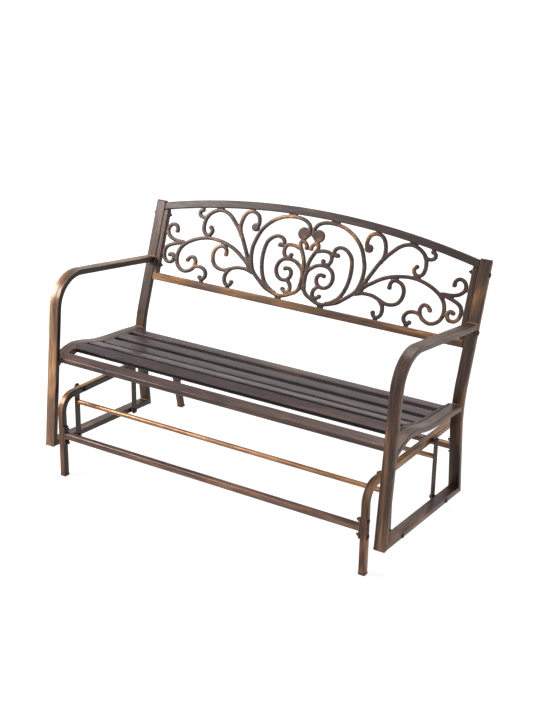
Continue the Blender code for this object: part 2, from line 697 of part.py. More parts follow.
def seat_direction(y):
    """The seat surface's direction, as a line whose left side is up."""
    rise = seat_top(y + SEAT_SLOPE_REACH) - seat_top(y - SEAT_SLOPE_REACH)
    return Line(y, seat_top(y), 2 * SEAT_SLOPE_REACH, rise)


def seat_path(front, rear, depth, steps):
    """A centre line half a depth under the seat's surface, from front to rear."""
    path = []
    for k in range(steps + 1):
        y = front + (rear - front) * k / steps
        line = seat_direction(y).left(-depth / 2)
        path.append((line.y, line.z))
    return path


def meet_seat(line, drop, guess):
    """Where a face of a post crosses the surface at a depth under the seat, closing in on it."""
    y = guess
    move = drop
    while abs(move) > TOUCH_GAP / 100:
        move = line.at_height(seat_top(y) - drop)[0] - y
        y += move
    return y


def trim(path, start_line, end_line):
    """Moves a path's ends along its first and last stretch onto two faces."""
    first = Line(*path[0], path[1][0] - path[0][0], path[1][1] - path[0][1])
    last = Line(*path[-1], path[-1][0] - path[-2][0], path[-1][1] - path[-2][1])
    start = first.meet(start_line)
    end = last.meet(end_line)
    return [start] + path[1:-1] + [end]


def face_normal(line):
    return (line.dz, -line.dy)


def build_side_frames(paint, black, body):
    section = tube_section(SIDE_TUBE_WIDTH / 2, HALF_SIDE, SIDE_CORNER)
    post_up = (FRONT_POST.dy, FRONT_POST.dz)
    back_up = (BACK_POST.dy, BACK_POST.dz)
    lower_up = (LOWER_POST.dy, LOWER_POST.dz)
    sled_back = (SLED.dy, SLED.dz)
    front_corner = SLED.meet(FRONT_POST)
    rear_corner = SLED.meet(LOWER_POST)
    front_mitre = unit(post_up, sled_back)
    rear_mitre = unit((-sled_back[0], -sled_back[1]), lower_up)
    join = TOUCH_GAP / sqrt(2)

    arm_end = ARM.meet(BACK_FACE.left(TOUCH_GAP))
    corners = [shift(front_corner, post_up, join), FRONT_POST.meet(ARM), arm_end]
    arm_path = fillet(corners, ARM_BEND_RADIUS, ARM_BEND_STEPS)
    sled_path = [shift(front_corner, sled_back, join), shift(rear_corner, sled_back, -join)]
    top = BACK_POST.meet(Line(BACK_TOP_Y, BACK_TOP_Z, BACK_POST.dz, -BACK_POST.dy))
    post_top = shift(top, back_up, -POST_CAP_THICKNESS - TOUCH_GAP)
    corners = [shift(rear_corner, lower_up, join), LOWER_POST.meet(BACK_POST), post_top]
    back_path = fillet(corners, BACK_BEND_RADIUS, BACK_BEND_STEPS)
    sled_cuts = (front_mitre, rear_mitre)
    low_x = SIDE_INNER_X - DRILL_RUN
    high_x = SIDE_OUTER_X + DRILL_RUN

    for word, side in SIDES:
        bm = bmesh.new()
        add_sweep(bm, arm_path, section, SIDE_CENTRE_X, front_mitre, face_normal(BACK_FACE))
        mirror_if(bm, side)
        finish(f"arm_frame_{word}", bm, paint, body, smooth=True)

        bm = bmesh.new()
        add_sweep(bm, sled_path, section, SIDE_CENTRE_X, *sled_cuts)
        mirror_if(bm, side)
        sled = finish(f"sled_rail_{word}", bm, paint, body, smooth=True)
        holes = [(*point, HOLE_RADIUS) for point in (FRONT_LOWER, REAR_LOWER)]
        drill(sled, low_x, high_x, holes, side)

        bm = bmesh.new()
        add_sweep(bm, back_path, section, SIDE_CENTRE_X, rear_mitre)
        mirror_if(bm, side)
        post = finish(f"back_post_{word}", bm, paint, body, smooth=True)
        drill(post, low_x, high_x, panel_holes(), side)

    cap = [shift(post_top, back_up, TOUCH_GAP), top]
    collar = (ARM_OUTER_X + TOUCH_GAP, SIDE_INNER_X - TOUCH_GAP)
    nut_x = ARM_INNER_X - TOUCH_GAP
    for hand, side in SIDES:
        bm = bmesh.new()
        add_sweep(bm, cap, section, SIDE_CENTRE_X)
        mirror_if(bm, side)
        finish(f"post_cap_{hand}", bm, paint, body)
        for word, (y, z) in (("front", FRONT_LOWER), ("rear", REAR_LOWER)):
            name = f"lower_pivot_bolt_{word}_{hand}"
            make_fastener(name, SIDE_OUTER_X, nut_x, PIVOT_STANDOUT, y, z, side, black, body, collar)


def build_seat(paint, body):
    post_rear = FRONT_POST_FACE.left(-SIDE_TUBE_DEPTH - TOUCH_GAP)
    back_front = BACK_FACE.left(TOUCH_GAP)
    kink = LOWER_POST_REAR.left(SIDE_TUBE_DEPTH + TOUCH_GAP)
    half_bend = (atan(BACK_RECLINE) + atan(REAR_POST_LEAN)) / 2
    bend_shift = BACK_BEND_RADIUS * (1 / cos(half_bend) - 1)
    corner = kink.meet(back_front)
    front = meet_seat(post_rear, SEAT_RAIL_DEPTH / 2, FRONT_RAIL_Y)
    rear = corner[0] + bend_shift - TOUCH_GAP
    rear_face = Line(rear, 0.0, 0.0, 1.0)
    rail_line = Line(0.0, 0.0, FRONT_RAIL_WIDTH, FRONT_RAIL_WIDTH * FRONT_RAIL_TILT)
    rail_top = (FRONT_RAIL_Y, seat_top(FRONT_RAIL_Y) + FRONT_RAIL_RISE)
    rail_up = Line(*rail_top, -rail_line.dz, rail_line.dy)
    rail_centre = shift(rail_top, (rail_up.dy, rail_up.dz), -FRONT_RAIL_DEPTH / 2)
    rail_rear = shift(rail_centre, (rail_line.dy, rail_line.dz), FRONT_RAIL_WIDTH / 2 + TOUCH_GAP)
    rail_rear_face = Line(*rail_rear, rail_up.dy, rail_up.dz)

    rail_section = tube_section(SIDE_TUBE_WIDTH / 2, SEAT_RAIL_DEPTH / 2, SIDE_CORNER)
    bar_section = tube_section(SEAT_BAR_WIDTH / 2, SEAT_BAR_DEPTH / 2, SEAT_BAR_CORNER)
    rail_path = trim(seat_path(front, rear, SEAT_RAIL_DEPTH, SEAT_RAIL_STEPS), post_rear, rear_face)
    bar_front = rail_rear[0] + SIDE_CORNER
    bar_path = seat_path(bar_front, rear, SEAT_BAR_DEPTH, SEAT_BAR_STEPS)
    bar_path = trim(bar_path, rail_rear_face, rear_face)
    bar_centre_x = SEAT_BAR_INNER_X + SEAT_BAR_WIDTH / 2
    rear_cut = face_normal(rear_face)
    rail_cuts = (face_normal(post_rear), rear_cut)
    bar_cuts = (face_normal(rail_rear_face), rear_cut)
    for word, side in SIDES:
        bm = bmesh.new()
        add_sweep(bm, rail_path, rail_section, SIDE_CENTRE_X, *rail_cuts)
        mirror_if(bm, side)
        finish(f"seat_side_rail_{word}", bm, paint, body, smooth=True)
        bm = bmesh.new()
        add_sweep(bm, bar_path, bar_section, bar_centre_x, *bar_cuts)
        mirror_if(bm, side)
        finish(f"seat_side_bar_{word}", bm, paint, body, smooth=True)

    rail_end = SIDE_INNER_X - TOUCH_GAP
    bm = bmesh.new()
    add_rail(bm, rail_end, rail_centre, rail_up, FRONT_RAIL_WIDTH, FRONT_RAIL_DEPTH, SIDE_CORNER)
    finish("seat_front_rail", bm, paint, body, smooth=True)

    widths = [SLAT_WIDTH] * SLAT_COUNT + [REAR_RAIL_WIDTH]
    names = [f"seat_slat_{k + 1}" for k in range(SLAT_COUNT)] + ["seat_rear_rail"]
    for index, (name, width) in enumerate(zip(names, widths)):
        surface = seat_direction(FIRST_SLAT_Y + index * SLAT_PITCH)
        up = Line(surface.y, surface.z, -surface.dz, surface.dy)
        centre = shift((surface.y, surface.z), (up.dy, up.dz), -SLAT_DEPTH / 2)
        bm = bmesh.new()
        add_rail(bm, SEAT_BAR_INNER_X - TOUCH_GAP, centre, up, width, SLAT_DEPTH, SLAT_CORNER)
        finish(name, bm, paint, body, smooth=True)


def panel_place():
    """Panel coordinates: x across, height up the recline from the datum, depth to the rear."""
    origin = BACK_FACE.at_height(PANEL_DATUM_Z)
    place = Matrix.Identity(4)
    place[1][1] = BACK_FACE.dz
    place[1][2] = BACK_FACE.dy
    place[2][1] = -BACK_FACE.dy
    place[2][2] = BACK_FACE.dz
    place[1][3] = origin[0]
    place[2][3] = origin[1]
    return place


def panel_bolt_points():
    """The panel bolts' places in the side view, in the middle of the panel tubes' depth."""
    points = []
    for height in (PANEL_BOLT_HIGH, PANEL_BOLT_LOW):
        place = panel_place() @ Vector((0.0, PANEL_TUBE_DEPTH / 2, height))
        points.append((place.y, place.z))
    return points


def panel_holes():
    return [(*point, HOLE_RADIUS) for point in panel_bolt_points()]


def arch_height(x, below=0.0):
    """The height of the top rail's arch at a distance from the middle."""
    radius = PANEL_ARCH_RADIUS - below
    return PANEL_TOP_CROWN - PANEL_ARCH_RADIUS + sqrt(radius * radius - x * x)


def arch_stations():
    return [PANEL_SIDE_OUTER_X * (2 * k / ARCH_STEPS - 1) for k in range(ARCH_STEPS + 1)]


def arch_underside(x):
    """The height of the top rail's lower face, which is straight between its stations."""
    spacing = 2 * PANEL_SIDE_OUTER_X / ARCH_STEPS
    index = min(int((x + PANEL_SIDE_OUTER_X) / spacing), ARCH_STEPS - 1)
    low_x = arch_stations()[index]
    low = arch_height(low_x, PANEL_TOP_HEIGHT)
    high = arch_height(low_x + spacing, PANEL_TOP_HEIGHT)
    return low + (high - low) * (x - low_x) / spacing


def add_panel_block(bm, outline, front, rear):
    """A prism with an outline in the panel's plane, running from front to rear in depth."""
    rings = [[bm.verts.new((x, depth, high)) for x, high in outline] for depth in (front, rear)]
    count = len(outline)
    for k in range(count):
        n = (k + 1) % count
        bm.faces.new((rings[0][k], rings[0][n], rings[1][n], rings[1][k]))
    bm.faces.new(rings[0][::-1])
    bm.faces.new(rings[1])


def bevel_all(bm, width):
    bmesh.ops.recalc_face_normals(bm, faces=bm.faces[:])
    edges = [edge for edge in bm.edges if edge.calc_face_angle() > radians(SMOOTH_ANGLE)]
    bmesh.ops.bevel(bm, geom=edges, offset=width, segments=1, affect="EDGES", clamp_overlap=True)


def build_panel(paint, black, body):
    low_top = PANEL_BOTTOM_LOW + PANEL_BOTTOM_HEIGHT
    end_x = PANEL_SIDE_OUTER_X
    bm = bmesh.new()
    outline = [(-end_x, PANEL_BOTTOM_LOW), (end_x, PANEL_BOTTOM_LOW)]
    outline += [(end_x, low_top), (-end_x, low_top)]
    add_panel_block(bm, outline, 0.0, PANEL_TUBE_DEPTH)
    bevel_all(bm, PANEL_CORNER)
    bmesh.ops.transform(bm, matrix=panel_place(), verts=bm.verts[:])
    finish("panel_bottom_rail", bm, paint, body, smooth=True)

    bm = bmesh.new()
    xs = arch_stations()
    outline = [(x, arch_height(x)) for x in reversed(xs)]
    outline += [(x, arch_height(x, PANEL_TOP_HEIGHT)) for x in xs]
    add_panel_block(bm, outline, 0.0, PANEL_TUBE_DEPTH)
    bevel_all(bm, PANEL_CORNER)
    bmesh.ops.transform(bm, matrix=panel_place(), verts=bm.verts[:])
    finish("panel_top_rail", bm, paint, body, smooth=True)

    for word, side in SIDES:
        bm = bmesh.new()
        xs = (PANEL_SIDE_INNER_X, PANEL_SIDE_OUTER_X)
        tops = [arch_underside(x) - TOUCH_GAP for x in xs]
        foot = low_top + TOUCH_GAP
        outline = [(xs[0], foot), (xs[1], foot), (xs[1], tops[1]), (xs[0], tops[0])]
        add_panel_block(bm, outline, 0.0, PANEL_TUBE_DEPTH)
        bevel_all(bm, PANEL_CORNER)
        bmesh.ops.transform(bm, matrix=panel_place(), verts=bm.verts[:])
        mirror_if(bm, side)
        tube = finish(f"panel_side_tube_{word}", bm, paint, body, smooth=True)
        drill(tube, PANEL_SIDE_INNER_X - DRILL_RUN, PANEL_SIDE_OUTER_X + DRILL_RUN, panel_holes(), side)

        for level, (y, z) in zip(("high", "low"), panel_bolt_points()):
            name = f"panel_bolt_{level}_{word}"
            nut_x = PANEL_SIDE_INNER_X - TOUCH_GAP
            make_fastener(name, SIDE_OUTER_X, nut_x, THREAD_STANDOUT, y, z, side, black, body)


def smooth_path(points, turn):
    """A smooth curve through the points, with no step that turns more than the given angle."""
    path = [Vector(points[0])]
    for k in range(len(points) - 1):
        p1 = Vector(points[k])
        p2 = Vector(points[k + 1])
        p0 = Vector(points[k - 1]) if k else p1 * 2 - p2
        p3 = Vector(points[k + 2]) if k + 2 < len(points) else p2 * 2 - p1
        leave = p2 - p0
        arrive = p3 - p1
        pieces = max(1, ceil(leave.angle(arrive) / turn))
        for step in range(1, pieces + 1):
            t = step / pieces
            bend = p1 * 2 + leave * t + (p0 * 2 - p1 * 5 + p2 * 4 - p3) * t**2
            bend += (p1 * 3 - p0 - p2 * 3 + p3) * t**3
            path.append(bend / 2)
    return path


def add_stroke(bm, points, relief):
    """One scroll stroke: flat back, square sides and a cut front, with drawn-in ends."""
    path = smooth_path(points, STROKE_TURN)
    half = STROKE_WIDTH / 2
    front = STROKE_SETBACK + relief
    rear = STROKE_SETBACK + STROKE_DEPTH - relief
    section = [
        (-half, rear),
        (half, rear),
        (half, front + STROKE_CHAMFER),
        (half - STROKE_CHAMFER, front),
        (STROKE_CHAMFER - half, front),
        (-half, front + STROKE_CHAMFER),
    ]
    start = (path[0] - path[1]).normalized()
    end = (path[-1] - path[-2]).normalized()
    drawn_in = STROKE_END_WIDTH / STROKE_WIDTH
    stations = [(path[0] + start * STROKE_END_REACH, drawn_in)]
    stations += [(point, 1.0) for point in path]
    stations.append((path[-1] + end * STROKE_END_REACH, drawn_in))
    rings = []
    last = len(stations) - 1
    for index, (point, scale) in enumerate(stations):
        before = stations[max(index - 1, 0)][0]
        after = stations[min(index + 1, last)][0]
        along = (after - before).normalized()
        across = Vector((along.y, -along.x))
        ring = []
        for offset, depth in section:
            place = point + across * offset * scale
            ring.append(bm.verts.new((place.x, depth, place.y)))
        rings.append(ring)
    count = len(section)
    for first, second in zip(rings, rings[1:]):
        for k in range(count):
            n = (k + 1) % count
            bm.faces.new((first[k], first[n], second[n], second[k]))
    bm.faces.new(rings[0][::-1])
    bm.faces.new(rings[-1])


def add_disc(bm, x, high, radius, relief):
    front = STROKE_SETBACK + relief
    rear = STROKE_SETBACK + STROKE_DEPTH - relief
    edge = radius - STROKE_CHAMFER / 2
    rings = []
    for depth, size in ((front, edge), (front + STROKE_CHAMFER / 2, radius), (rear, radius)):
        ring = []
        for k in range(DISC_SIDES):
            angle = 2 * pi * (k + 0.5) / DISC_SIDES
            ring.append(bm.verts.new((x + size * cos(angle), depth, high + size * sin(angle))))
        rings.append(ring)
    for first, second in zip(rings, rings[1:]):
        for k in range(DISC_SIDES):
            n = (k + 1) % DISC_SIDES
            bm.faces.new((first[k], first[n], second[n], second[k]))
    bm.faces.new(rings[0][::-1])
    bm.faces.new(rings[-1])


def pad_outlines():
    outlines = []
    for x, width, start in TOP_PADS:
        low_x = x * SCROLL_STRETCH - width / 2
        high_x = x * SCROLL_STRETCH + width / 2
        tops = [arch_underside(edge) - TOUCH_GAP for edge in (high_x, low_x)]
        outlines.append([(low_x, start), (high_x, start), (high_x, tops[0]), (low_x, tops[1])])
    foot = PANEL_BOTTOM_LOW + PANEL_BOTTOM_HEIGHT + TOUCH_GAP
    for x, width, start in BOTTOM_PADS:
        low_x = x * SCROLL_STRETCH - width / 2
        high_x = x * SCROLL_STRETCH + width / 2
        outlines.append([(low_x, foot), (high_x, foot), (high_x, start), (low_x, start)])
    edge = PANEL_SIDE_INNER_X - TOUCH_GAP
    for high, width, start in SIDE_PADS:
        start_x = start * SCROLL_STRETCH
        low = high - width / 2
        top = high + width / 2
        outlines.append([(start_x, low), (edge, low), (edge, top), (start_x, top)])
    return outlines


def build_scrolls(bronze, body):
    """Each half of the scrollwork is one casting: strokes, discs and feet fused together."""
    for word, side in SIDES:
        group = bpy.data.collections.new(f"scroll_strokes_{word}")
        whole = None
        shapes = []
        for index, points in enumerate(SCROLL_STROKES.values()):
            bm = bmesh.new()
            stretched = [(x * SCROLL_STRETCH, high) for x, high in points]
            add_stroke(bm, stretched, STROKE_RELIEF * (index % 5))
            shapes.append(bm)
        for index, (x, high, radius) in enumerate(SCROLL_DISCS):
            bm = bmesh.new()
            add_disc(bm, x * SCROLL_STRETCH, high, radius, STROKE_RELIEF * (index + 0.5))
            shapes.append(bm)
        for index, outline in enumerate(pad_outlines()):
            bm = bmesh.new()
            inset = PAD_RELIEF + STROKE_RELIEF * (index % 2)
            add_panel_block(bm, outline, STROKE_SETBACK + inset, STROKE_SETBACK + STROKE_DEPTH - inset)
            shapes.append(bm)
        for index, bm in enumerate(shapes):
            bmesh.ops.transform(bm, matrix=panel_place(), verts=bm.verts[:])
            mirror_if(bm, side)
            name = f"scroll_casting_{word}" if index == 0 else f"scroll_{word}_{index}"
            piece = finish(name, bm, bronze, body)
            if index == 0:
                whole = piece
            else:
                hide_operand(piece)
                group.objects.link(piece)
        fuse = whole.modifiers.new("fuse", "BOOLEAN")
        fuse.operation = "UNION"
        fuse.operand_type = "COLLECTION"
        fuse.solver = "EXACT"
        fuse.collection = group


def main():
    clear_scene()
    paint = make_material("bronze_paint", (0.150, 0.098, 0.075), 0.42, 0.65)
    bronze = make_material("scroll_bronze", (0.120, 0.080, 0.060), 0.45, 0.65)
    copper = make_material("copper_bar", (0.420, 0.225, 0.125), 0.35, 0.80)
    black = make_material("black_hardware", (0.030, 0.030, 0.032), 0.40, 0.60)
    rubber = make_material("foot_plastic", (0.025, 0.025, 0.027), 0.60, 0.00)

    front_hanger = make_empty("front_hanger_axis", FRONT_UPPER)
    rear_hanger = make_empty("rear_hanger_axis", REAR_UPPER)
    seat = make_empty("seat_axis", FRONT_LOWER, front_hanger)

    build_base(paint, black, rubber)
    build_hanger("front", FRONT_UPPER, FRONT_LOWER, HOLE_RADIUS, paint, copper, front_hanger)
    build_hanger("rear", REAR_UPPER, REAR_LOWER, OPEN_HOLE_RADIUS, paint, copper, rear_hanger)
    build_side_frames(paint, black, seat)
    build_seat(paint, seat)
    build_panel(paint, black, seat)
    build_scrolls(bronze, seat)
    for name, point in (("front upper", FRONT_UPPER), ("front lower", FRONT_LOWER)):
        print(name, "pivot y z", round(point[0], 4), round(point[1], 4))
    for name, point in (("rear upper", REAR_UPPER), ("rear lower", REAR_LOWER)):
        print(name, "pivot y z", round(point[0], 4), round(point[1], 4))
    front_length = hypot(FRONT_UPPER[0] - FRONT_LOWER[0], FRONT_UPPER[1] - FRONT_LOWER[1])
    rear_length = hypot(REAR_UPPER[0] - REAR_LOWER[0], REAR_UPPER[1] - REAR_LOWER[1])
    print("hanger lengths", round(front_length, 4), round(rear_length, 4))
    print("base rear leg splay in degrees", round(degrees(atan(REAR_LEG_SPLAY)), 1))


main()
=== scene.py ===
"""The glider bench dressed for its picture: brushed bronze tubes, cast scrollwork, welds and hardware."""

import json
from math import atan2, ceil, cos, exp, hypot, pi, radians, sin, sqrt

import bmesh
import bpy
import numpy as np
from mathutils import Matrix, Vector

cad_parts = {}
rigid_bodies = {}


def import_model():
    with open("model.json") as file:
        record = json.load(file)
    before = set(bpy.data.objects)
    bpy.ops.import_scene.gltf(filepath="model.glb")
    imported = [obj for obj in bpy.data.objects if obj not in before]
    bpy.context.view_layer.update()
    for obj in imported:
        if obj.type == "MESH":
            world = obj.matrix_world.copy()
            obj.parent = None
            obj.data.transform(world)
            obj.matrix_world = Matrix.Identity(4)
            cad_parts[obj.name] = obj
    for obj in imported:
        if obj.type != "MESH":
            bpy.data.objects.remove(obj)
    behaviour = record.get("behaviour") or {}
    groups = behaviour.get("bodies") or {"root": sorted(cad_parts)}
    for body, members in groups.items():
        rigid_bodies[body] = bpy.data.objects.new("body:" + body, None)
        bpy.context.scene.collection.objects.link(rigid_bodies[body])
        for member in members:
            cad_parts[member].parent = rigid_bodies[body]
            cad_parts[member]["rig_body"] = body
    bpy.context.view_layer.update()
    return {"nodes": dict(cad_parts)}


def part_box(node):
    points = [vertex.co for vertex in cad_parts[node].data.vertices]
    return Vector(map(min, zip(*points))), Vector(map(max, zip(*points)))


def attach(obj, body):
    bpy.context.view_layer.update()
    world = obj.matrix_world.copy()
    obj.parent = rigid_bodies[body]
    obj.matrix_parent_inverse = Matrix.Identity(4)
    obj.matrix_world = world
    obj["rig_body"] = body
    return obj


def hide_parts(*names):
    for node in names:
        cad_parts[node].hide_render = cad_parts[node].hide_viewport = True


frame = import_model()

NODES = frame["nodes"]
SIDES = (("left", -1), ("right", 1))
ENDS = ("front", "rear")
SLATS = [f"seat_slat_{k}" for k in range(1, 5)]
WHITE = (1.0, 1.0, 1.0)

# The photograph's camera, in the bench's own frame
PHOTO_WIDTH = 540
PHOTO_HEIGHT = 720
FOCAL_PIXELS = 1273.14
CENTRE_COLUMN = 244.99
CENTRE_ROW = 325.53
CAMERA_PLACE = (1.9961, -3.2430, 1.9876)
CAMERA_AZIMUTH = radians(32.455)
CAMERA_ELEVATION = radians(20.697)
CAMERA_ROLL = radians(0.547)
SENSOR = 36.0

# Rounded tube edges
MERGE = 0.00002
FLAT = radians(0.6)
EDGE_ROUND = 0.0009
THIN_ROUND = 0.0007
EDGE_CUTS = 2
BEVEL_TURN = radians(28)
FACE_WIDTH = 0.0045
SHARP_TURN = radians(60)
RING_STEP = 0.0004
HOLE_REACH = 0.0062

# Faces painted in shade, darker and without the brushed gold: those that look down or to the bench's
# middle, and slats' fronts
SHADED_NORMAL = 0.70
MIDDLE_REACH = 0.30

# Paint
PAINT_METAL = 0.35
BAR_METAL = 0.55
SCROLL_METAL = 0.40
BLACK_METAL = 0.5
PAINT_DRAWN = 0.25
SCROLL_DRAWN = 0.8
PAINT_COAT = 0.16
COAT_ROUGHNESS = 0.24
PAINT_SPECULAR = 0.32
# How dark the painted shade is, as a share of each paint's dark colour
PAINTED_SHADE_SHARE = 0.35
DEEP_SHARE = 0.6
PATCH_LOW = 0.58
PATCH_HIGH = 0.76
PATCH_SPREAD = 0.6

# Places in the noise, for materials by their seed and for pieces by their name
NOISE_SHIFT = (1.37, 2.11, 0.73)
FLOW_PLACES = 89
FLOW_STEP = 0.37

# Layers of noise, each with the two levels it rises between and, unless it rises from 0 to 1, its ends
BROAD_STREAKS = (dict(scale=250.0, share=0.20, detail=4.0, roughness=0.65), (0.34, 0.66))
FINE_STREAKS = (dict(scale=600.0, share=0.13, place=5.0, roughness=0.6), (0.34, 0.62, 0.35, 1.0))
GOLD_STREAKS = (dict(scale=380.0, share=0.15, place=7, detail=4.0, roughness=0.65), (0.34, 0.64, 0.2, 1.0))
RUBBED_EDGES = (dict(scale=46.0, place=8.0), (0.40, 0.66))
PAINT_SPECKLE = (dict(scale=1100.0, detail=2.0), (0.25, 0.42, 0.30, 0.0))
PAINT_GLOSS = (dict(scale=120.0, share=0.4, place=9.0), (0.25, 0.75, 0.34, 0.50))
BLACK_RUBBING = (dict(scale=180.0, detail=4.0), (0.50, 0.72, 0.0, 0.7))
BLACK_GLOSS = (dict(scale=420.0, place=1.0), (0.3, 0.7, 0.34, 0.52))
PLASTIC_SCUFFS = (dict(scale=90.0, detail=5.0), (0.52, 0.75, 0.0, 0.6))
PLASTIC_GLOSS = (dict(scale=300.0, place=2.0), (0.3, 0.7, 0.55, 0.70))

# The gold's patches, whose levels follow from each paint's share of gold
GOLD_PATCHES = dict(scale=12.0, place=3.0, detail=2.5, roughness=0.5, warp=0.6)

# Layers of relief, each with its strength and depth
BRUSH_LINES = (dict(scale=700.0, share=0.16, place=4.0, roughness=0.6), 0.10, 0.0004)
PAINT_GRAIN = (dict(scale=1500.0, place=2.0, detail=2.0), 0.12, 0.0002)
BLACK_GRAIN = (dict(scale=900.0, place=2.0), 0.12, 0.0002)
PLASTIC_GRAIN = (dict(scale=1600.0, place=1.0), 0.25, 0.0002)

# Colours of the small parts
BLACK_STEEL = (0.020, 0.018, 0.018)
RUBBED_STEEL = (0.085, 0.062, 0.050)
FOOT_BROWN = (0.070, 0.042, 0.032)
SCUFF_SHARE = 2.2

# Back panel: the posts' front face, and heights measured up the recline from the datum
BACK_TOP_Y = 0.3035
BACK_TOP_Z = 0.803
BACK_RECLINE = 0.350
RECLINE_LENGTH = hypot(1.0, BACK_RECLINE)
PANEL_DATUM_Z = 0.600
BOTTOM_RAIL_TOP = -0.042
TOP_CROWN = 0.275
TOP_HEIGHT = 0.026
ARCH_RISE = 0.0655
PANEL_SIDE_OUTER_X = 0.5967
PANEL_SIDE_INNER_X = 0.5777

# Cast strokes
STROKE_HALF = 0.0063
STROKE_FRONT = 0.0022
STROKE_REAR = 0.0138
FRONT_ROUND = 0.0020
REAR_ROUND = 0.0012
ROUND_STEPS = 4
BULB_GROWTH = 0.24
BULB_PLACE = 0.0065
BULB_REACH = 0.0045
STROKE_TURN = radians(9)
STROKE_STEP = 0.004
END_SHARE = 0.02
END_STEPS = 4
DISC_EDGE = 0.0016
DISC_SOFTNESS = 0.3
DISC_SIDES = 40
PAD_INSET = 0.0016
PAD_DEPTHS = (STROKE_FRONT + PAD_INSET, STROKE_REAR - PAD_INSET)
CASTING_VOXEL = 0.0017
CASTING_SMOOTHING = 3
SMOOTHING_FACTOR = 0.5
PROUD_REACH = 3
PROUD_BLUR = 2
PROUD_LOW = 0.16
PROUD_SPREAD = 0.30
# How strongly the castings' faces that look to the front or up are painted lit and gilded; the rest are
# painted shade
FRONT_SHARE = 1.1
TOP_SHARE = 0.5
BRUSH_AND_LIGHT_START = 0.1

# Fasteners
BOLT_RADIUS = 0.0038
HEAD_RADIUS = 0.0075
HEAD_SPACE = 0.0050
HEAD_HEIGHT = 0.0036
LOW_HEAD_HEIGHT = 0.0024
NUT_RADIUS = 0.0072
NUT_HEIGHT = 0.0058
NUT_SIDES = 6
THREAD_STANDOUT = 0.0050
PIVOT_STANDOUT = 0.0010
THREAD_PITCH = 0.0010
THREAD_ROOT = 0.88
THREAD_SIDES = 20
NUT_CHAMFER = 0.0008
DOME_RIM = 0.2
DOME_STEPS = 8
WASHER_RADIUS = 0.0079
WASHER_THICKNESS = 0.0010
WASHER_EDGE = 0.0003
SPACER_RADIUS = 0.0080
TURNED_SIDES = 32
TOUCH_GAP = 0.0003
HARD_TURN = radians(35)

# Welds
WELD_RADIUS = 0.0019
WELD_RIPPLE = 0.0032
WELD_SIDES = 8
RIPPLE_STEPS = 3
RIPPLE_DEPTH = 0.20
END_DEPTH = 0.0004
SMALL_WELD = 0.0014
MITRE_WELD = 0.0012
PAD_WELD = 0.0012
CROSSBAR_REACH = 0.0145
PLATE_DEPTH = 0.0040

# Tube centre lines in the side view, as (y, z) points, which the brushed paint follows
ARM_LINE = [
    (-0.3370, 0.1067), (-0.2868, 0.5711), (-0.2740, 0.6114), (-0.2464, 0.6433), (-0.2084, 0.6619),
    (-0.1662, 0.6641), (0.2334, 0.6037),
]
BACK_LINE = [(0.1869, 0.0648), (0.1656, 0.2820), (0.1665, 0.3579), (0.1836, 0.4318), (0.3125, 0.7999)]
SLED_LINE = [(-0.3370, 0.1067), (0.1869, 0.0648)]
BASE_LINE = [
    (-0.3370, 0.0000), (-0.3370, 0.2298), (-0.3329, 0.2498), (-0.3214, 0.2666), (-0.3042, 0.2775),
    (-0.2841, 0.2808), (0.2380, 0.2609), (0.2543, 0.2576), (0.2686, 0.2493), (0.2795, 0.2368),
    (0.2858, 0.2214), (0.3367, 0.0000),
]
SEAT_LINE = [(-0.2970, 0.3870), (-0.2000, 0.4120), (-0.0800, 0.3855), (0.0800, 0.3685), (0.1700, 0.3580)]
FRONT_ARM_LINE = [(-0.2305, 0.0982), (-0.2305, 0.2788)]
REAR_ARM_LINE = [(0.0805, 0.0733), (0.0805, 0.2669)]

# Studio
SKY_LIGHT = 0.34
FLOOR_SIZE = 14.0
FLOOR_CELLS = 8
FLOOR_SHADE = 0.30
FLOOR_ROUGHNESS = 0.9
FLOOR_GLOW = 0.84
GLOW_NEAR = 0.9
GLOW_FAR = 2.4
# Each lamp's name, place, aim, size, watts and colour
LAMPS = [
    ("key", (-2.7, -1.9, 2.3), (0.0, 0.0, 0.45), 1.4, 165.0, (1.0, 0.97, 0.93)),
    ("fill", (2.8, -2.6, 1.6), (0.0, 0.0, 0.40), 2.0, 26.0, (0.97, 0.98, 1.0)),
    ("top", (0.3, 1.2, 3.4), (0.0, 0.0, 0.50), 2.2, 95.0, (1.0, 0.98, 0.97)),
]

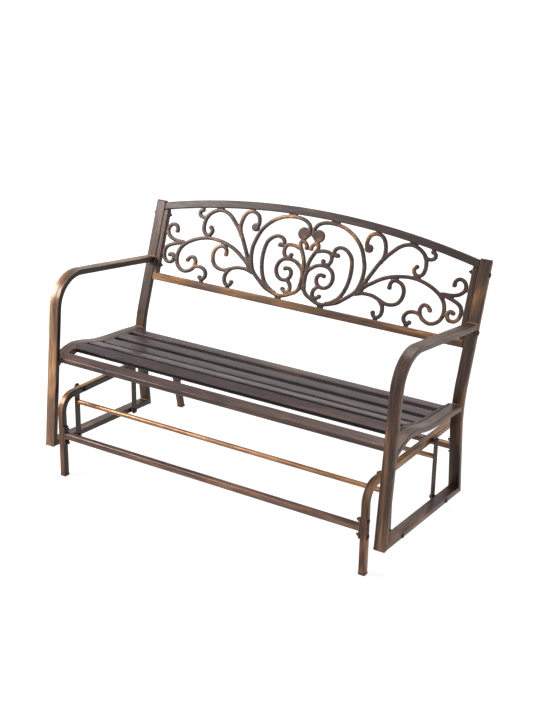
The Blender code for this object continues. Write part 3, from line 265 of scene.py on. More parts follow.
# Right half of the scrollwork: each stroke's centre line as (x, height above the datum)
SCROLL_STROKES = {
    "outer_loop": [
        (0.0082, 0.1880), (0.0070, 0.2000), (0.0090, 0.2130), (0.0180, 0.2255), (0.0350, 0.2345),
        (0.0570, 0.2385), (0.0800, 0.2385), (0.1020, 0.2355), (0.1220, 0.2300), (0.1420, 0.2205),
        (0.1600, 0.2085), (0.1780, 0.1920), (0.1900, 0.1770), (0.1990, 0.1600), (0.2068, 0.1400),
        (0.2128, 0.1200), (0.2145, 0.1000), (0.2130, 0.0800), (0.2085, 0.0600), (0.2010, 0.0400),
        (0.1905, 0.0265), (0.1800, 0.0170), (0.1600, 0.0015), (0.1400, -0.0130), (0.1200, -0.0210),
        (0.1000, -0.0270), (0.0800, -0.0300), (0.0600, -0.0270), (0.0400, -0.0178), (0.0220, -0.0085),
        (0.0105, 0.0050), (0.0072, 0.0200),
    ],
    "inner_loop": [
        (0.1125, 0.1375), (0.1045, 0.1365), (0.0975, 0.1410), (0.0958, 0.1500), (0.1005, 0.1590),
        (0.1115, 0.1648), (0.1245, 0.1658), (0.1380, 0.1612), (0.1505, 0.1522), (0.1610, 0.1390),
        (0.1665, 0.1200), (0.1690, 0.1000), (0.1688, 0.0800), (0.1665, 0.0600), (0.1615, 0.0400),
        (0.1535, 0.0200), (0.1425, 0.0030), (0.1300, -0.0085), (0.1150, -0.0180), (0.1000, -0.0245),
    ],
    "heart_scroll": [
        (0.0068, 0.0080), (0.0060, 0.0350), (0.0068, 0.0580), (0.0125, 0.0715), (0.0230, 0.0815),
        (0.0400, 0.0925), (0.0600, 0.0968), (0.0800, 0.0950), (0.0925, 0.0895), (0.1020, 0.0800),
        (0.1070, 0.0680), (0.1080, 0.0555), (0.1040, 0.0420), (0.0940, 0.0300), (0.0790, 0.0240),
        (0.0640, 0.0265), (0.0535, 0.0345), (0.0488, 0.0470), (0.0512, 0.0585), (0.0592, 0.0650),
        (0.0680, 0.0655), (0.0750, 0.0630),
    ],
    "lower_curl": [
        (0.0620, 0.0262), (0.0525, 0.0205), (0.0455, 0.0110), (0.0435, 0.0000), (0.0465, -0.0090),
        (0.0545, -0.0132), (0.0635, -0.0115), (0.0710, -0.0050),
    ],
    "upper_curl": [
        (0.0350, 0.1390), (0.0490, 0.1435), (0.0650, 0.1450), (0.0800, 0.1425), (0.0882, 0.1345),
        (0.0905, 0.1220), (0.0880, 0.1105), (0.0805, 0.1030), (0.0705, 0.1015), (0.0635, 0.1055),
        (0.0612, 0.1130),
    ],
    "centre_hook": [
        (0.0064, 0.0700), (0.0090, 0.0960), (0.0180, 0.1200), (0.0280, 0.1380), (0.0340, 0.1500),
        (0.0330, 0.1600), (0.0250, 0.1640), (0.0160, 0.1600), (0.0095, 0.1520), (0.0078, 0.1430),
    ],
    "disc_loop": [
        (0.2060, 0.1900), (0.2065, 0.2060), (0.2130, 0.2215), (0.2250, 0.2292), (0.2390, 0.2315),
        (0.2525, 0.2285), (0.2635, 0.2195), (0.2708, 0.2060), (0.2750, 0.1900), (0.2762, 0.1740),
        (0.2728, 0.1580), (0.2660, 0.1430),
    ],
    "high_branch": [
        (0.2150, 0.0480), (0.2290, 0.0780), (0.2405, 0.1000), (0.2515, 0.1200), (0.2630, 0.1400),
        (0.2785, 0.1600), (0.2900, 0.1735), (0.3000, 0.1835), (0.3100, 0.1935), (0.3200, 0.2020),
        (0.3350, 0.2105), (0.3525, 0.2155), (0.3700, 0.2155), (0.3860, 0.2105), (0.4010, 0.2020),
        (0.4135, 0.1900), (0.4205, 0.1755), (0.4230, 0.1600), (0.4225, 0.1455), (0.4175, 0.1315),
        (0.4075, 0.1245), (0.3960, 0.1250), (0.3880, 0.1320), (0.3855, 0.1425), (0.3940, 0.1525),
    ],
    "top_curl": [
        (0.4150, 0.1850), (0.4275, 0.1815), (0.4400, 0.1830), (0.4478, 0.1890), (0.4485, 0.1980),
        (0.4440, 0.2040), (0.4375, 0.2062),
    ],
    "long_branch": [
        (0.2130, 0.0400), (0.2220, 0.0510), (0.2350, 0.0625), (0.2500, 0.0720), (0.2650, 0.0825),
        (0.2800, 0.0910), (0.3000, 0.1000), (0.3250, 0.1075), (0.3500, 0.1120), (0.3750, 0.1143),
        (0.4000, 0.1130), (0.4200, 0.1093), (0.4400, 0.1035), (0.4600, 0.0950), (0.4780, 0.0850),
        (0.4925, 0.0735), (0.5035, 0.0600), (0.5100, 0.0440), (0.5118, 0.0280), (0.5090, 0.0115),
        (0.5015, -0.0020), (0.4880, -0.0125), (0.4710, -0.0168), (0.4550, -0.0125), (0.4420, -0.0045),
        (0.4340, 0.0070), (0.4310, 0.0190), (0.4335, 0.0300), (0.4410, 0.0375), (0.4505, 0.0378),
        (0.4600, 0.0320), (0.4655, 0.0235),
    ],
    "lower_hook": [
        (0.4340, 0.0055), (0.4220, 0.0085), (0.4090, 0.0092), (0.3965, 0.0060), (0.3870, -0.0010),
        (0.3820, -0.0110), (0.3830, -0.0215), (0.3900, -0.0300), (0.3990, -0.0310), (0.4045, -0.0255),
    ],
    "side_curl": [
        (0.4850, 0.0800), (0.5000, 0.0835), (0.5150, 0.0835), (0.5300, 0.0850), (0.5450, 0.0885),
        (0.5570, 0.0955), (0.5655, 0.1055), (0.5680, 0.1175), (0.5632, 0.1300), (0.5535, 0.1375),
        (0.5420, 0.1385), (0.5330, 0.1330), (0.5290, 0.1240), (0.5295, 0.1165),
    ],
    "side_lower_curl": [
        (0.5050, 0.0790), (0.5200, 0.0750), (0.5350, 0.0700), (0.5500, 0.0640), (0.5610, 0.0560),
        (0.5668, 0.0450), (0.5675, 0.0300), (0.5630, 0.0165), (0.5530, 0.0065), (0.5405, 0.0045),
        (0.5300, 0.0080), (0.5252, 0.0180), (0.5262, 0.0280), (0.5315, 0.0340), (0.5385, 0.0338),
        (0.5437, 0.0295),
    ],
    "low_branch": [
        (0.1980, 0.0265), (0.2200, 0.0330), (0.2400, 0.0345), (0.2600, 0.0330), (0.2770, 0.0280),
        (0.2930, 0.0215), (0.3080, 0.0165), (0.3220, 0.0152), (0.3370, 0.0180), (0.3500, 0.0245),
        (0.3590, 0.0350), (0.3645, 0.0490), (0.3655, 0.0640), (0.3615, 0.0780), (0.3530, 0.0880),
        (0.3420, 0.0935), (0.3300, 0.0955), (0.3198, 0.0915), (0.3138, 0.0820), (0.3135, 0.0685),
    ],
    "pad_curl": [
        (0.2840, 0.0250), (0.2945, 0.0150), (0.3018, 0.0030), (0.3035, -0.0100), (0.3010, -0.0220),
        (0.2935, -0.0308), (0.2840, -0.0330), (0.2757, -0.0280), (0.2725, -0.0185),
    ],
}
# Flat discs at the curl ends: x, height above the datum, radius
SCROLL_DISCS = [(0.0285, 0.1895, 0.0215), (0.2165, 0.1805, 0.0145), (0.1085, 0.1385, 0.0085)]
# Feet that meet the panel's tubes: middle, width and where they start inside a stroke
TOP_PADS = [
    (0.082, 0.030, 0.2380),
    (0.240, 0.016, 0.2320),
    (0.368, 0.028, 0.2160),
    (0.438, 0.012, 0.2060),
]
BOTTOM_PADS = [(0.082, 0.022, -0.0300), (0.285, 0.014, -0.0330), (0.3945, 0.014, -0.0310)]
SIDE_PADS = [(0.1075, 0.010, 0.5660), (0.0370, 0.010, 0.5665)]


def fill(tree, node, inputs):
    """Sets a node's inputs, and links those whose value is another node's output."""
    for key, value in inputs.items():
        socket = node.inputs[key]
        if isinstance(value, bpy.types.NodeSocket):
            tree.links.new(value, socket)
        elif isinstance(value, tuple) and socket.type == "RGBA":
            socket.default_value = (*value, 1.0)
        else:
            socket.default_value = value


def add_node(tree, kind, inputs=None, **settings):
    node = tree.nodes.new(kind)
    for key, value in settings.items():
        setattr(node, key, value)
    fill(tree, node, inputs or {})
    return node


class Shader:
    """A material's nodes, put together one call at a time, on each piece's own flow coordinates."""

    def __init__(self, name):
        self.material = bpy.data.materials.new(name)
        self.material.use_nodes = True
        self.tree = self.material.node_tree
        self.place = self.add("ShaderNodeAttribute", attribute_name="flow").outputs["Vector"]

    def add(self, kind, inputs=None, **settings):
        return add_node(self.tree, kind, inputs, **settings)

    def mark(self, name):
        """What a piece's own mesh says at each point, such as how worn it is."""
        return self.add("ShaderNodeAttribute", attribute_name=name).outputs["Fac"]

    def noise(self, along, seed, scale, share=1.0, place=0.0, detail=3.0, roughness=0.55, warp=0.0):
        """Noise in steps of 1 / scale, drawn out along the tube where along and share are below 1."""
        shift = tuple((seed + place) * part for part in NOISE_SHIFT)
        sizes = {"Vector": self.place, "Location": shift, "Scale": (1.0, 1.0, along * share)}
        moved = self.add("ShaderNodeMapping", sizes).outputs["Vector"]
        sizes = {"Vector": moved, "Scale": scale, "Detail": detail, "Roughness": roughness}
        sizes["Distortion"] = warp
        return self.add("ShaderNodeTexNoise", sizes).outputs["Fac"]

    def band(self, value, low, high, start=0.0, end=1.0):
        """Turns a value between low and high into a smooth rise from start to end."""
        sizes = {"Value": value, "From Min": low, "From Max": high, "To Min": start, "To Max": end}
        node = self.add("ShaderNodeMapRange", sizes, interpolation_type="SMOOTHSTEP")
        return node.outputs["Result"]

    def layer(self, along, seed, noise, levels):
        return self.band(self.noise(along, seed, **noise), *levels)

    def relief(self, along, seed, noise, strength, depth, under=None):
        """Noise as a bump, over any bump below it."""
        sizes = {"Height": self.noise(along, seed, **noise), "Strength": strength, "Distance": depth}
        if under:
            sizes["Normal"] = under
        return self.add("ShaderNodeBump", sizes).outputs["Normal"]

    def times(self, first, second):
        return self.add("ShaderNodeMath", {0: first, 1: second}, operation="MULTIPLY").outputs["Value"]

    def blend(self, factor, first, second):
        return self.add("ShaderNodeMix", {0: factor, 6: first, 7: second}, data_type="RGBA").outputs[2]

    def finish(self, metallic, colour, roughness, normal, coat=0.0, specular=0.5):
        fill(self.tree, self.tree.nodes["Principled BSDF"], {
            "Metallic": metallic,
            "Specular IOR Level": specular,
            "Coat Weight": coat,
            "Coat Roughness": COAT_ROUGHNESS,
            "Base Color": colour,
            "Roughness": roughness,
            "Normal": normal,
        })
        return self.material


def bronze(name, dark, middle, gold, amount, wear, seed, metallic=PAINT_METAL, drawn=PAINT_DRAWN):
    """Antique bronze paint: near black, with brown, gold and copper brushed on in lengthwise streaks, and
    darker still as painted shade on faces marked as shaded.
    """
    s = Shader(name)
    broad = s.layer(drawn, seed, *BROAD_STREAKS)
    fine = s.layer(drawn, seed, *FINE_STREAKS)
    brushed_and_lit = s.mark("brushed_and_lit")
    # Painted shade: faces that look down or inward, and slats' fronts, take this darker colour and no gold
    painted_shade = tuple(part * PAINTED_SHADE_SHARE for part in dark)
    base = s.blend(s.times(s.times(broad, fine), brushed_and_lit), s.blend(brushed_and_lit, painted_shade, dark), middle)
    clouds = s.noise(drawn, seed, **GOLD_PATCHES)
    patch = s.band(clouds, PATCH_LOW - amount, PATCH_HIGH - amount * PATCH_SPREAD)
    streak = s.layer(drawn, seed, *GOLD_STREAKS)
    gilded = s.blend(s.times(s.times(patch, brushed_and_lit), s.times(streak, fine)), base, gold)
    rubbed = s.layer(drawn, seed, *RUBBED_EDGES)
    edge = s.times(s.times(s.mark("wear"), rubbed), s.times(brushed_and_lit, wear))
    worn = s.blend(edge, gilded, gold)
    deep = tuple(part * DEEP_SHARE for part in dark)
    colour = s.blend(s.layer(1.0, seed, *PAINT_SPECKLE), worn, deep)
    rough = s.layer(drawn, seed, *PAINT_GLOSS)
    lines = s.relief(drawn, seed, *BRUSH_LINES)
    normal = s.relief(1.0, seed, *PAINT_GRAIN, lines)
    return s.finish(metallic, colour, rough, normal, PAINT_COAT, PAINT_SPECULAR)


def blackened(name, dark, light, seed):
    """Black hardware, a little rubbed."""
    s = Shader(name)
    colour = s.blend(s.layer(1.0, seed, *BLACK_RUBBING), dark, light)
    rough = s.layer(1.0, seed, *BLACK_GLOSS)
    return s.finish(BLACK_METAL, colour, rough, s.relief(1.0, seed, *BLACK_GRAIN))


def moulded(name, colour, seed):
    """Matt moulded plastic with a fine grain."""
    s = Shader(name)
    scuffed = tuple(part * SCUFF_SHARE for part in colour)
    shade = s.blend(s.layer(1.0, seed, *PLASTIC_SCUFFS), colour, scuffed)
    rough = s.layer(1.0, seed, *PLASTIC_GLOSS)
    return s.finish(0.0, shade, rough, s.relief(1.0, seed, *PLASTIC_GRAIN))


def link(name, data):
    """A new object in the scene."""
    thing = bpy.data.objects.new(name, data)
    bpy.context.scene.collection.objects.link(thing)
    return thing


def link_mesh(name, bm):
    mesh = bpy.data.meshes.new(name)
    bm.to_mesh(mesh)
    bm.free()
    return link(name, mesh)


def fastener_axes():
    axes = []
    for name in NODES:
        if "_bolt_" in name:
            low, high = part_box(name)
            axes.append(((low.y + high.y) / 2, (low.z + high.z) / 2))
    return axes


BOLT_AXES = fastener_axes()


def in_hole(vert):
    return any(hypot(vert.co.y - y, vert.co.z - z) < HOLE_REACH for y, z in BOLT_AXES)


def face_width(face):
    return face.calc_area() / max(MERGE, *(edge.calc_length() for edge in face.edges))


def mark_wear(bm):
    """Marks rounded corners with 1 and the flat faces' borders with 0, for the rubbed edges."""
    layer = bm.verts.layers.float.new("wear")
    for vert in bm.verts:
        flat = any(face_width(face) > FACE_WIDTH for face in vert.link_faces)
        vert[layer] = 0.0 if flat else 1.0


def face_brushed_and_lit(face, shaded_front):
    """1 for a face that gets the brushed gold and is painted as lit, and 0 for one painted in shade."""
    centre = face.calc_center_median()
    inward = -face.normal.x if centre.x > 0 else face.normal.x
    if abs(centre.x) > MIDDLE_REACH and inward > SHADED_NORMAL:
        return 0.0
    if shaded_front and face.normal.y < -SHADED_NORMAL:
        return 0.0
    return 0.0 if face.normal.z < -SHADED_NORMAL else 1.0


# Gives each point its share of painted light against painted shade, from the faces around it
def mark_brushed_and_lit(bm, shaded_front):
    layer = bm.verts.layers.float.new("brushed_and_lit")
    bm.normal_update()
    for vert in bm.verts:
        faces = [face for face in vert.link_faces if face_width(face) > FACE_WIDTH] or vert.link_faces
        values = [face_brushed_and_lit(face, shaded_front) for face in faces]
        vert[layer] = sum(values) / max(1, len(values))


def flow_at(point, line):
    """A point as (across, across, along): along X, or along a line in the side view."""
    if not line:
        return Vector((point.y, point.z, point.x))
    here = Vector((point.y, point.z))
    best = None
    travelled = 0.0
    for k, (start, end) in enumerate(zip(line, line[1:])):
        start = Vector(start)
        run = Vector(end) - start
        length = run.length
        share = (here - start).dot(run) / length**2
        low = share if k == 0 else max(0.0, share)
        share = low if k == len(line) - 2 else min(1.0, low)
        gap = here - start - run * share
        if best is None or gap.length < best[0]:
            side = (run.x * gap.y - run.y * gap.x) / length
            best = (gap.length, side, travelled + share * length)
        travelled += length
    return Vector((point.x, best[1], best[2]))


def mark_flow(bm, line, shift):
    """Gives each point the place along and across its tube, so that brushed paint runs with the tube."""
    layer = bm.verts.layers.float_vector.get("flow") or bm.verts.layers.float_vector.new("flow")
    for vert in bm.verts:
        vert[layer] = flow_at(vert.co, line) + Vector((0.0, 0.0, shift))
    return layer


def flow_shift(name):
    """How far along the noise a piece lies, which follows from its name."""
    return sum(ord(letter) * (k + 3) for k, letter in enumerate(name)) % FLOW_PLACES * FLOW_STEP


def make_piece(name, bm, material, body, sharp=SHARP_TURN, weighted=True):
    piece = link_mesh(name, bm)
    piece.data.materials.append(material)
    piece.data.shade_smooth()
    piece.data.set_sharp_from_angle(angle=sharp)
    if weighted:
        shading = piece.modifiers.new("shading", "WEIGHTED_NORMAL")
        shading.keep_sharp = True
    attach(piece, body)
    return piece


def body_of(node):
    return NODES[node]["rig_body"]


def dress(node, material, line=None, rounding=EDGE_ROUND):
    """A copy of a node's own shape with rounded, rubbed edges and paint that runs along it."""
    bm = bmesh.new()
    bm.from_mesh(NODES[node].data)
    bmesh.ops.remove_doubles(bm, verts=bm.verts[:], dist=MERGE)
    shift = flow_shift(node)
    layer = mark_flow(bm, line, shift)
    crossing = [
        edge for edge in bm.edges if abs(edge.verts[0][layer].z - edge.verts[1][layer].z) > RING_STEP
    ]
    bmesh.ops.dissolve_limit(bm, angle_limit=FLAT, verts=[], edges=crossing)
    edges = []
    for edge in bm.edges:
        if len(edge.link_faces) != 2 or edge.calc_face_angle() < BEVEL_TURN:
            continue
        if in_hole(edge.verts[0]) or in_hole(edge.verts[1]):
            continue
        edges.append(edge)
    bmesh.ops.bevel(bm, geom=edges, offset=rounding, segments=EDGE_CUTS, affect="EDGES", clamp_overlap=True)
    mark_flow(bm, line, shift)
    mark_wear(bm)
    # Marks which faces are painted in shade
    mark_brushed_and_lit(bm, node in SLATS)
    piece = make_piece(f"{node}_finish", bm, material, body_of(node))
    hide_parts(node)
    return piece


def add_rings(bm, rings, closed=False):
    """Joins rings of vertices into a tube, closed into a loop or capped at its ends."""
    count = len(rings[0])
    pairs = list(zip(rings, rings[1:]))
    if closed:
        pairs.append((rings[-1], rings[0]))
    for first, second in pairs:
        for k in range(count):
            n = (k + 1) % count
            bm.faces.new((first[k], first[n], second[n], second[k]))
    if not closed:
        bm.faces.new(rings[0][::-1])
        bm.faces.new(rings[-1])


def add_turned(bm, profile, y, z, sides=TURNED_SIDES, turn=0.0):
    """A turned solid on an axis along X, from (x, radius) pairs."""
    rings = []
    for x, radius in profile:
        angles = [2 * pi * (k + turn) / sides for k in range(sides)]
        rings.append([bm.verts.new((x, y + radius * cos(a), z + radius * sin(a))) for a in angles])
    add_rings(bm, rings)


def add_head(bm, seat, y, z, full_height):
    """A low domed head on its washer, seated at an x and facing out."""
    top = seat + WASHER_THICKNESS
    washer = [(seat, WASHER_RADIUS - WASHER_EDGE), (seat + WASHER_EDGE, WASHER_RADIUS)]
    washer += [(top - WASHER_EDGE, WASHER_RADIUS), (top, WASHER_RADIUS - WASHER_EDGE)]
    add_turned(bm, washer, y, z)
    height = full_height - WASHER_THICKNESS
    dome = [(top, HEAD_RADIUS - WASHER_EDGE), (top + height * DOME_RIM, HEAD_RADIUS)]
    for k in range(1, DOME_STEPS):
        angle = pi / 2 * k / DOME_STEPS
        dome.append((top + height * (DOME_RIM + (1 - DOME_RIM) * sin(angle)), HEAD_RADIUS * cos(angle)))
    add_turned(bm, dome, y, z)


def add_nut(bm, seat, y, z, turn):
    """A chamfered hexagon nut on its washer, facing in from an x."""
    near = seat - WASHER_THICKNESS
    washer = [(seat, WASHER_RADIUS - WASHER_EDGE), (seat - WASHER_EDGE, WASHER_RADIUS)]
    washer += [(near + WASHER_EDGE, WASHER_RADIUS), (near, WASHER_RADIUS - WASHER_EDGE)]
    add_turned(bm, washer, y, z)
    far = seat - NUT_HEIGHT
    nut = [(near, NUT_RADIUS - NUT_CHAMFER), (near - NUT_CHAMFER, NUT_RADIUS)]
    nut += [(far + NUT_CHAMFER, NUT_RADIUS), (far, NUT_RADIUS - NUT_CHAMFER)]
    add_turned(bm, nut, y, z, NUT_SIDES, turn)


def add_thread(bm, start, end, y, z):
    """A bolt's threaded end, from a nut's face to its chamfered tip."""
    root = BOLT_RADIUS * THREAD_ROOT
    profile = [(start, root)]
    x = start
    while x - THREAD_PITCH > end + THREAD_PITCH / 2:
        profile.append((x - THREAD_PITCH / 2, BOLT_RADIUS))
        profile.append((x - THREAD_PITCH, root))
        x -= THREAD_PITCH
    profile.append((end, BOLT_RADIUS - THREAD_PITCH))
    add_turned(bm, profile, y, z, THREAD_SIDES)


def add_spacer(bm, low, high, y, z):
    lip = WASHER_EDGE
    profile = [(low, SPACER_RADIUS - lip), (low + lip, SPACER_RADIUS)]
    profile += [(high - lip, SPACER_RADIUS), (high, SPACER_RADIUS - lip)]
    add_turned(bm, profile, y, z)


def make_fastener(node, material, standout, spacer=None, head=HEAD_HEIGHT):
    """A bolt with its nut, and any spacer, seated where the node's own bolt is."""
    low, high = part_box(node)
    y = (low.y + high.y) / 2
    z = (low.z + high.z) / 2
    left = high.x < 0
    outer = -low.x if left else high.x
    tip = -high.x if left else low.x
    nut_seat = tip + standout + NUT_HEIGHT
    bm = bmesh.new()
    add_head(bm, outer - HEAD_SPACE, y, z, head)
    add_nut(bm, nut_seat, y, z, flow_shift(node) % 1.0)
    if standout > PIVOT_STANDOUT:
        add_thread(bm, nut_seat - NUT_HEIGHT, tip, y, z)
    else:
        tip_end = [(nut_seat - NUT_HEIGHT, BOLT_RADIUS), (tip, BOLT_RADIUS - WASHER_EDGE)]
        add_turned(bm, tip_end, y, z, THREAD_SIDES)
    if spacer:
        add_spacer(bm, *spacer, y, z)
    if left:
        bmesh.ops.scale(bm, vec=(-1.0, 1.0, 1.0), verts=bm.verts[:])
    bmesh.ops.recalc_face_normals(bm, faces=bm.faces[:])
    mark_flow(bm, None, flow_shift(node))
    piece = make_piece(f"{node}_hardware", bm, material, body_of(node), HARD_TURN, False)
    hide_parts(node)


def panel_place():
    """Panel coordinates: x across, depth to the rear, height up the recline from the datum."""
    up_y = BACK_RECLINE / RECLINE_LENGTH
    up_z = 1.0 / RECLINE_LENGTH
    place = Matrix.Identity(4)
    place[1][1] = up_z
    place[1][2] = up_y
    place[2][1] = -up_y
    place[2][2] = up_z
    place[1][3] = BACK_TOP_Y - BACK_RECLINE * (BACK_TOP_Z - PANEL_DATUM_Z)
    place[2][3] = PANEL_DATUM_Z
    return place


def arch_underside(x):
    full = (PANEL_SIDE_OUTER_X**2 + ARCH_RISE**2) / (2 * ARCH_RISE)
    radius = full - TOP_HEIGHT
    return TOP_CROWN - full + sqrt(radius * radius - x * x)


def smooth_path(points):
    """A smooth curve through the points, finely stepped where it turns."""
    path = [Vector(points[0])]
    for k in range(len(points) - 1):
        p1 = Vector(points[k])
        p2 = Vector(points[k + 1])
        p0 = Vector(points[k - 1]) if k else p1 * 2 - p2
        p3 = Vector(points[k + 2]) if k + 2 < len(points) else p2 * 2 - p1
        turn = (p2 - p0).angle(p3 - p1) / STROKE_TURN
        pieces = max(1, ceil(turn), ceil((p2 - p1).length / STROKE_STEP))
        for step in range(1, pieces + 1):
            t = step / pieces
            bend = p1 * 2 + (p2 - p0) * t + (p0 * 2 - p1 * 5 + p2 * 4 - p3) * t**2
            bend += (p1 * 3 - p0 - p2 * 3 + p3) * t**3
            path.append(bend / 2)
    return path


def stroke_section():
    """A stroke's outline, nearly square to the rear and rounder to the front, as (across, depth) pairs."""
    corners = [
        (STROKE_REAR - REAR_ROUND, REAR_ROUND, 0.0),
        (STROKE_FRONT + FRONT_ROUND, FRONT_ROUND, -pi / 2),
    ]
    side = []
    for middle, radius, start in corners:
        for k in range(ROUND_STEPS + 1):
            angle = start + pi / 2 * (1 - k / ROUND_STEPS)
            side.append((STROKE_HALF - radius + radius * cos(angle), middle + radius * sin(angle)))
    return side + [(-across, depth) for across, depth in reversed(side)]


def rounded_end(distance):
    """The share of a stroke's width that is left at a distance from its end."""
    if distance >= STROKE_HALF:
        return 1.0
    return sqrt(max(END_SHARE, 1.0 - ((STROKE_HALF - distance) / STROKE_HALF) ** 2))


def bulb(distance):
    """How much wider a stroke is near its free end, and how it rounds off there."""
    width = 1.0 + BULB_GROWTH * exp(-(((distance - BULB_PLACE) / BULB_REACH) ** 2))
    return width * rounded_end(distance)


def add_stroke(bm, points, section):
    path = smooth_path(points)
    start = (path[0] - path[1]).normalized()
    end = (path[-1] - path[-2]).normalized()
    rounding = [STROKE_HALF * cos(pi / 2 * k / END_STEPS) for k in range(END_STEPS)]
    path = [path[0] + start * reach for reach in rounding] + path
    path += [path[-1] + end * reach for reach in reversed(rounding)]
    along = [0.0]
    for here, after in zip(path, path[1:]):
        along.append(along[-1] + (after - here).length)
    rings = []
    last = len(path) - 1
    for k, point in enumerate(path):
        heading = (path[min(k + 1, last)] - path[max(k - 1, 0)]).normalized()
        across = Vector((heading.y, -heading.x))
        width = bulb(along[-1] - along[k]) * rounded_end(along[k])
        ring = []
        for offset, depth in section:
            place = point + across * offset * width
            ring.append(bm.verts.new((place.x, depth, place.y)))
        rings.append(ring)
    add_rings(bm, rings)


def add_disc(bm, x, high, radius):
    rings = []
    soft = DISC_EDGE * DISC_SOFTNESS
    levels = [(STROKE_FRONT, radius - DISC_EDGE), (STROKE_FRONT + soft, radius - soft)]
    levels += [(STROKE_FRONT + DISC_EDGE, radius), (STROKE_REAR, radius)]
    for depth, size in levels:
        angles = [2 * pi * k / DISC_SIDES for k in range(DISC_SIDES)]
        rings.append([bm.verts.new((x + size * cos(a), depth, high + size * sin(a))) for a in angles])
    add_rings(bm, rings)


def span(middle, width):
    return middle - width / 2, middle + width / 2


def pads():
    """The scrollwork's feet, each as its two corners in a stroke and its two on the panel's tubes."""
    feet = []
    for middle, width, start in TOP_PADS:
        low, high = span(middle, width)
        feet.append([(low, start), (high, start), (low, arch_underside(low)), (high, arch_underside(high))])
    for middle, width, start in BOTTOM_PADS:
        low, high = span(middle, width)
        feet.append([(low, start), (high, start), (low, BOTTOM_RAIL_TOP), (high, BOTTOM_RAIL_TOP)])
    for middle, width, start in SIDE_PADS:
        low, high = span(middle, width)
        feet.append([(start, low), (start, high), (PANEL_SIDE_INNER_X, low), (PANEL_SIDE_INNER_X, high)])
    return feet


def add_pad(bm, foot):
    outline = (foot[0], foot[1], foot[3], foot[2])
    add_rings(bm, [[bm.verts.new((x, depth, high)) for x, high in outline] for depth in PAD_DEPTHS])


def mark_convexity(mesh):
    """Marks the raised edges of a dense mesh for wear, and the faces that look to the front or up, which
    are painted lit and gilded while the rest are painted shade.
    """
    count = len(mesh.vertices)
    points = np.zeros(count * 3)
    mesh.vertices.foreach_get("co", points)
    points = points.reshape(-1, 3)
    normals = np.zeros(count * 3)
    mesh.vertex_normals.foreach_get("vector", normals)
    normals = normals.reshape(-1, 3)
    edges = np.zeros(len(mesh.edges) * 2, int)
    mesh.edges.foreach_get("vertices", edges)
    first, second = edges.reshape(-1, 2).T
    degree = np.bincount(np.concatenate([first, second]), minlength=count)

    def neighbours(values):
        total = np.zeros_like(values)
        np.add.at(total, first, values[second])
        np.add.at(total, second, values[first])
        return total / (degree[:, None] if values.ndim > 1 else degree)

    smooth = points
    for _ in range(PROUD_REACH):
        smooth = neighbours(smooth)
    proud = ((points - smooth) * normals).sum(1) / CASTING_VOXEL
    for _ in range(PROUD_BLUR):
        proud = (proud + neighbours(proud)) / 2
    wear = np.clip((proud - PROUD_LOW) / PROUD_SPREAD, 0.0, 1.0)
    layer = mesh.attributes.new("wear", "FLOAT", "POINT")
    layer.data.foreach_set("value", wear.astype(np.float32))
    # Painted light and shade: faces toward the front and up lighter and gilded, the others dark
    front = normals @ np.array((0.0, -1.0, BACK_RECLINE)) / RECLINE_LENGTH
    top = normals @ np.array((0.0, BACK_RECLINE, 1.0)) / RECLINE_LENGTH
    brushed_and_lit = front * FRONT_SHARE + np.clip(top, 0.0, 1.0) * TOP_SHARE - BRUSH_AND_LIGHT_START
    brushed_and_lit = np.clip(brushed_and_lit, 0.0, 1.0)
    layer = mesh.attributes.new("brushed_and_lit", "FLOAT", "POINT")
    layer.data.foreach_set("value", brushed_and_lit.astype(np.float32))


def fused_casting():
    """The right half of the scrollwork, its strokes melted together where they meet."""
    bm = bmesh.new()
    section = stroke_section()
    for points in SCROLL_STROKES.values():
        add_stroke(bm, points, section)
    for x, high, radius in SCROLL_DISCS:
        add_disc(bm, x, high, radius)
    for foot in pads():
        add_pad(bm, foot)
    bmesh.ops.recalc_face_normals(bm, faces=bm.faces[:])
    rough = link_mesh("casting_strokes", bm)
    melt = rough.modifiers.new("melt", "REMESH")
    melt.mode = "VOXEL"
    melt.voxel_size = CASTING_VOXEL
    soften = rough.modifiers.new("soften", "SMOOTH")
    soften.factor = SMOOTHING_FACTOR
    soften.iterations = CASTING_SMOOTHING
    bpy.context.view_layer.update()
    ready = rough.evaluated_get(bpy.context.evaluated_depsgraph_get())
    fused = bpy.data.meshes.new_from_object(ready)
    bpy.data.objects.remove(rough)
    return fused


def make_castings(material):
    fused = fused_casting()
    for word, side in SIDES:
        bm = bmesh.new()
        bm.from_mesh(fused)
        bmesh.ops.transform(bm, matrix=panel_place(), verts=bm.verts[:])
        if side < 0:
            bmesh.ops.scale(bm, vec=(-1.0, 1.0, 1.0), verts=bm.verts[:])
        bmesh.ops.recalc_face_normals(bm, faces=bm.faces[:])
        mark_flow(bm, None, flow_shift(word))
        name = f"scroll_casting_{word}"
        piece = make_piece(f"{name}_finish", bm, material, body_of(name), pi, False)
        mark_convexity(piece.data)
        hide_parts(name)


def distinct(points):
    """The points, without those that lie on an earlier one."""
    kept = []
    for point in points:
        if all((point - other).length > TOUCH_GAP for other in kept):
            kept.append(point)
    return kept


def end_ring(node, normal):
    """The outline of a node's end face, the one that lies furthest along a normal."""
    normal = Vector(normal).normalized()
    points = [vert.co.copy() for vert in NODES[node].data.vertices]
    reach = max(point.dot(normal) for point in points)
    face = distinct(point for point in points if reach - point.dot(normal) < END_DEPTH)
    centre = sum(face, Vector()) / len(face)
    across = (face[0] - centre).normalized()
    up = normal.cross(across)
    face.sort(key=lambda point: atan2((point - centre).dot(up), (point - centre).dot(across)))
    return face


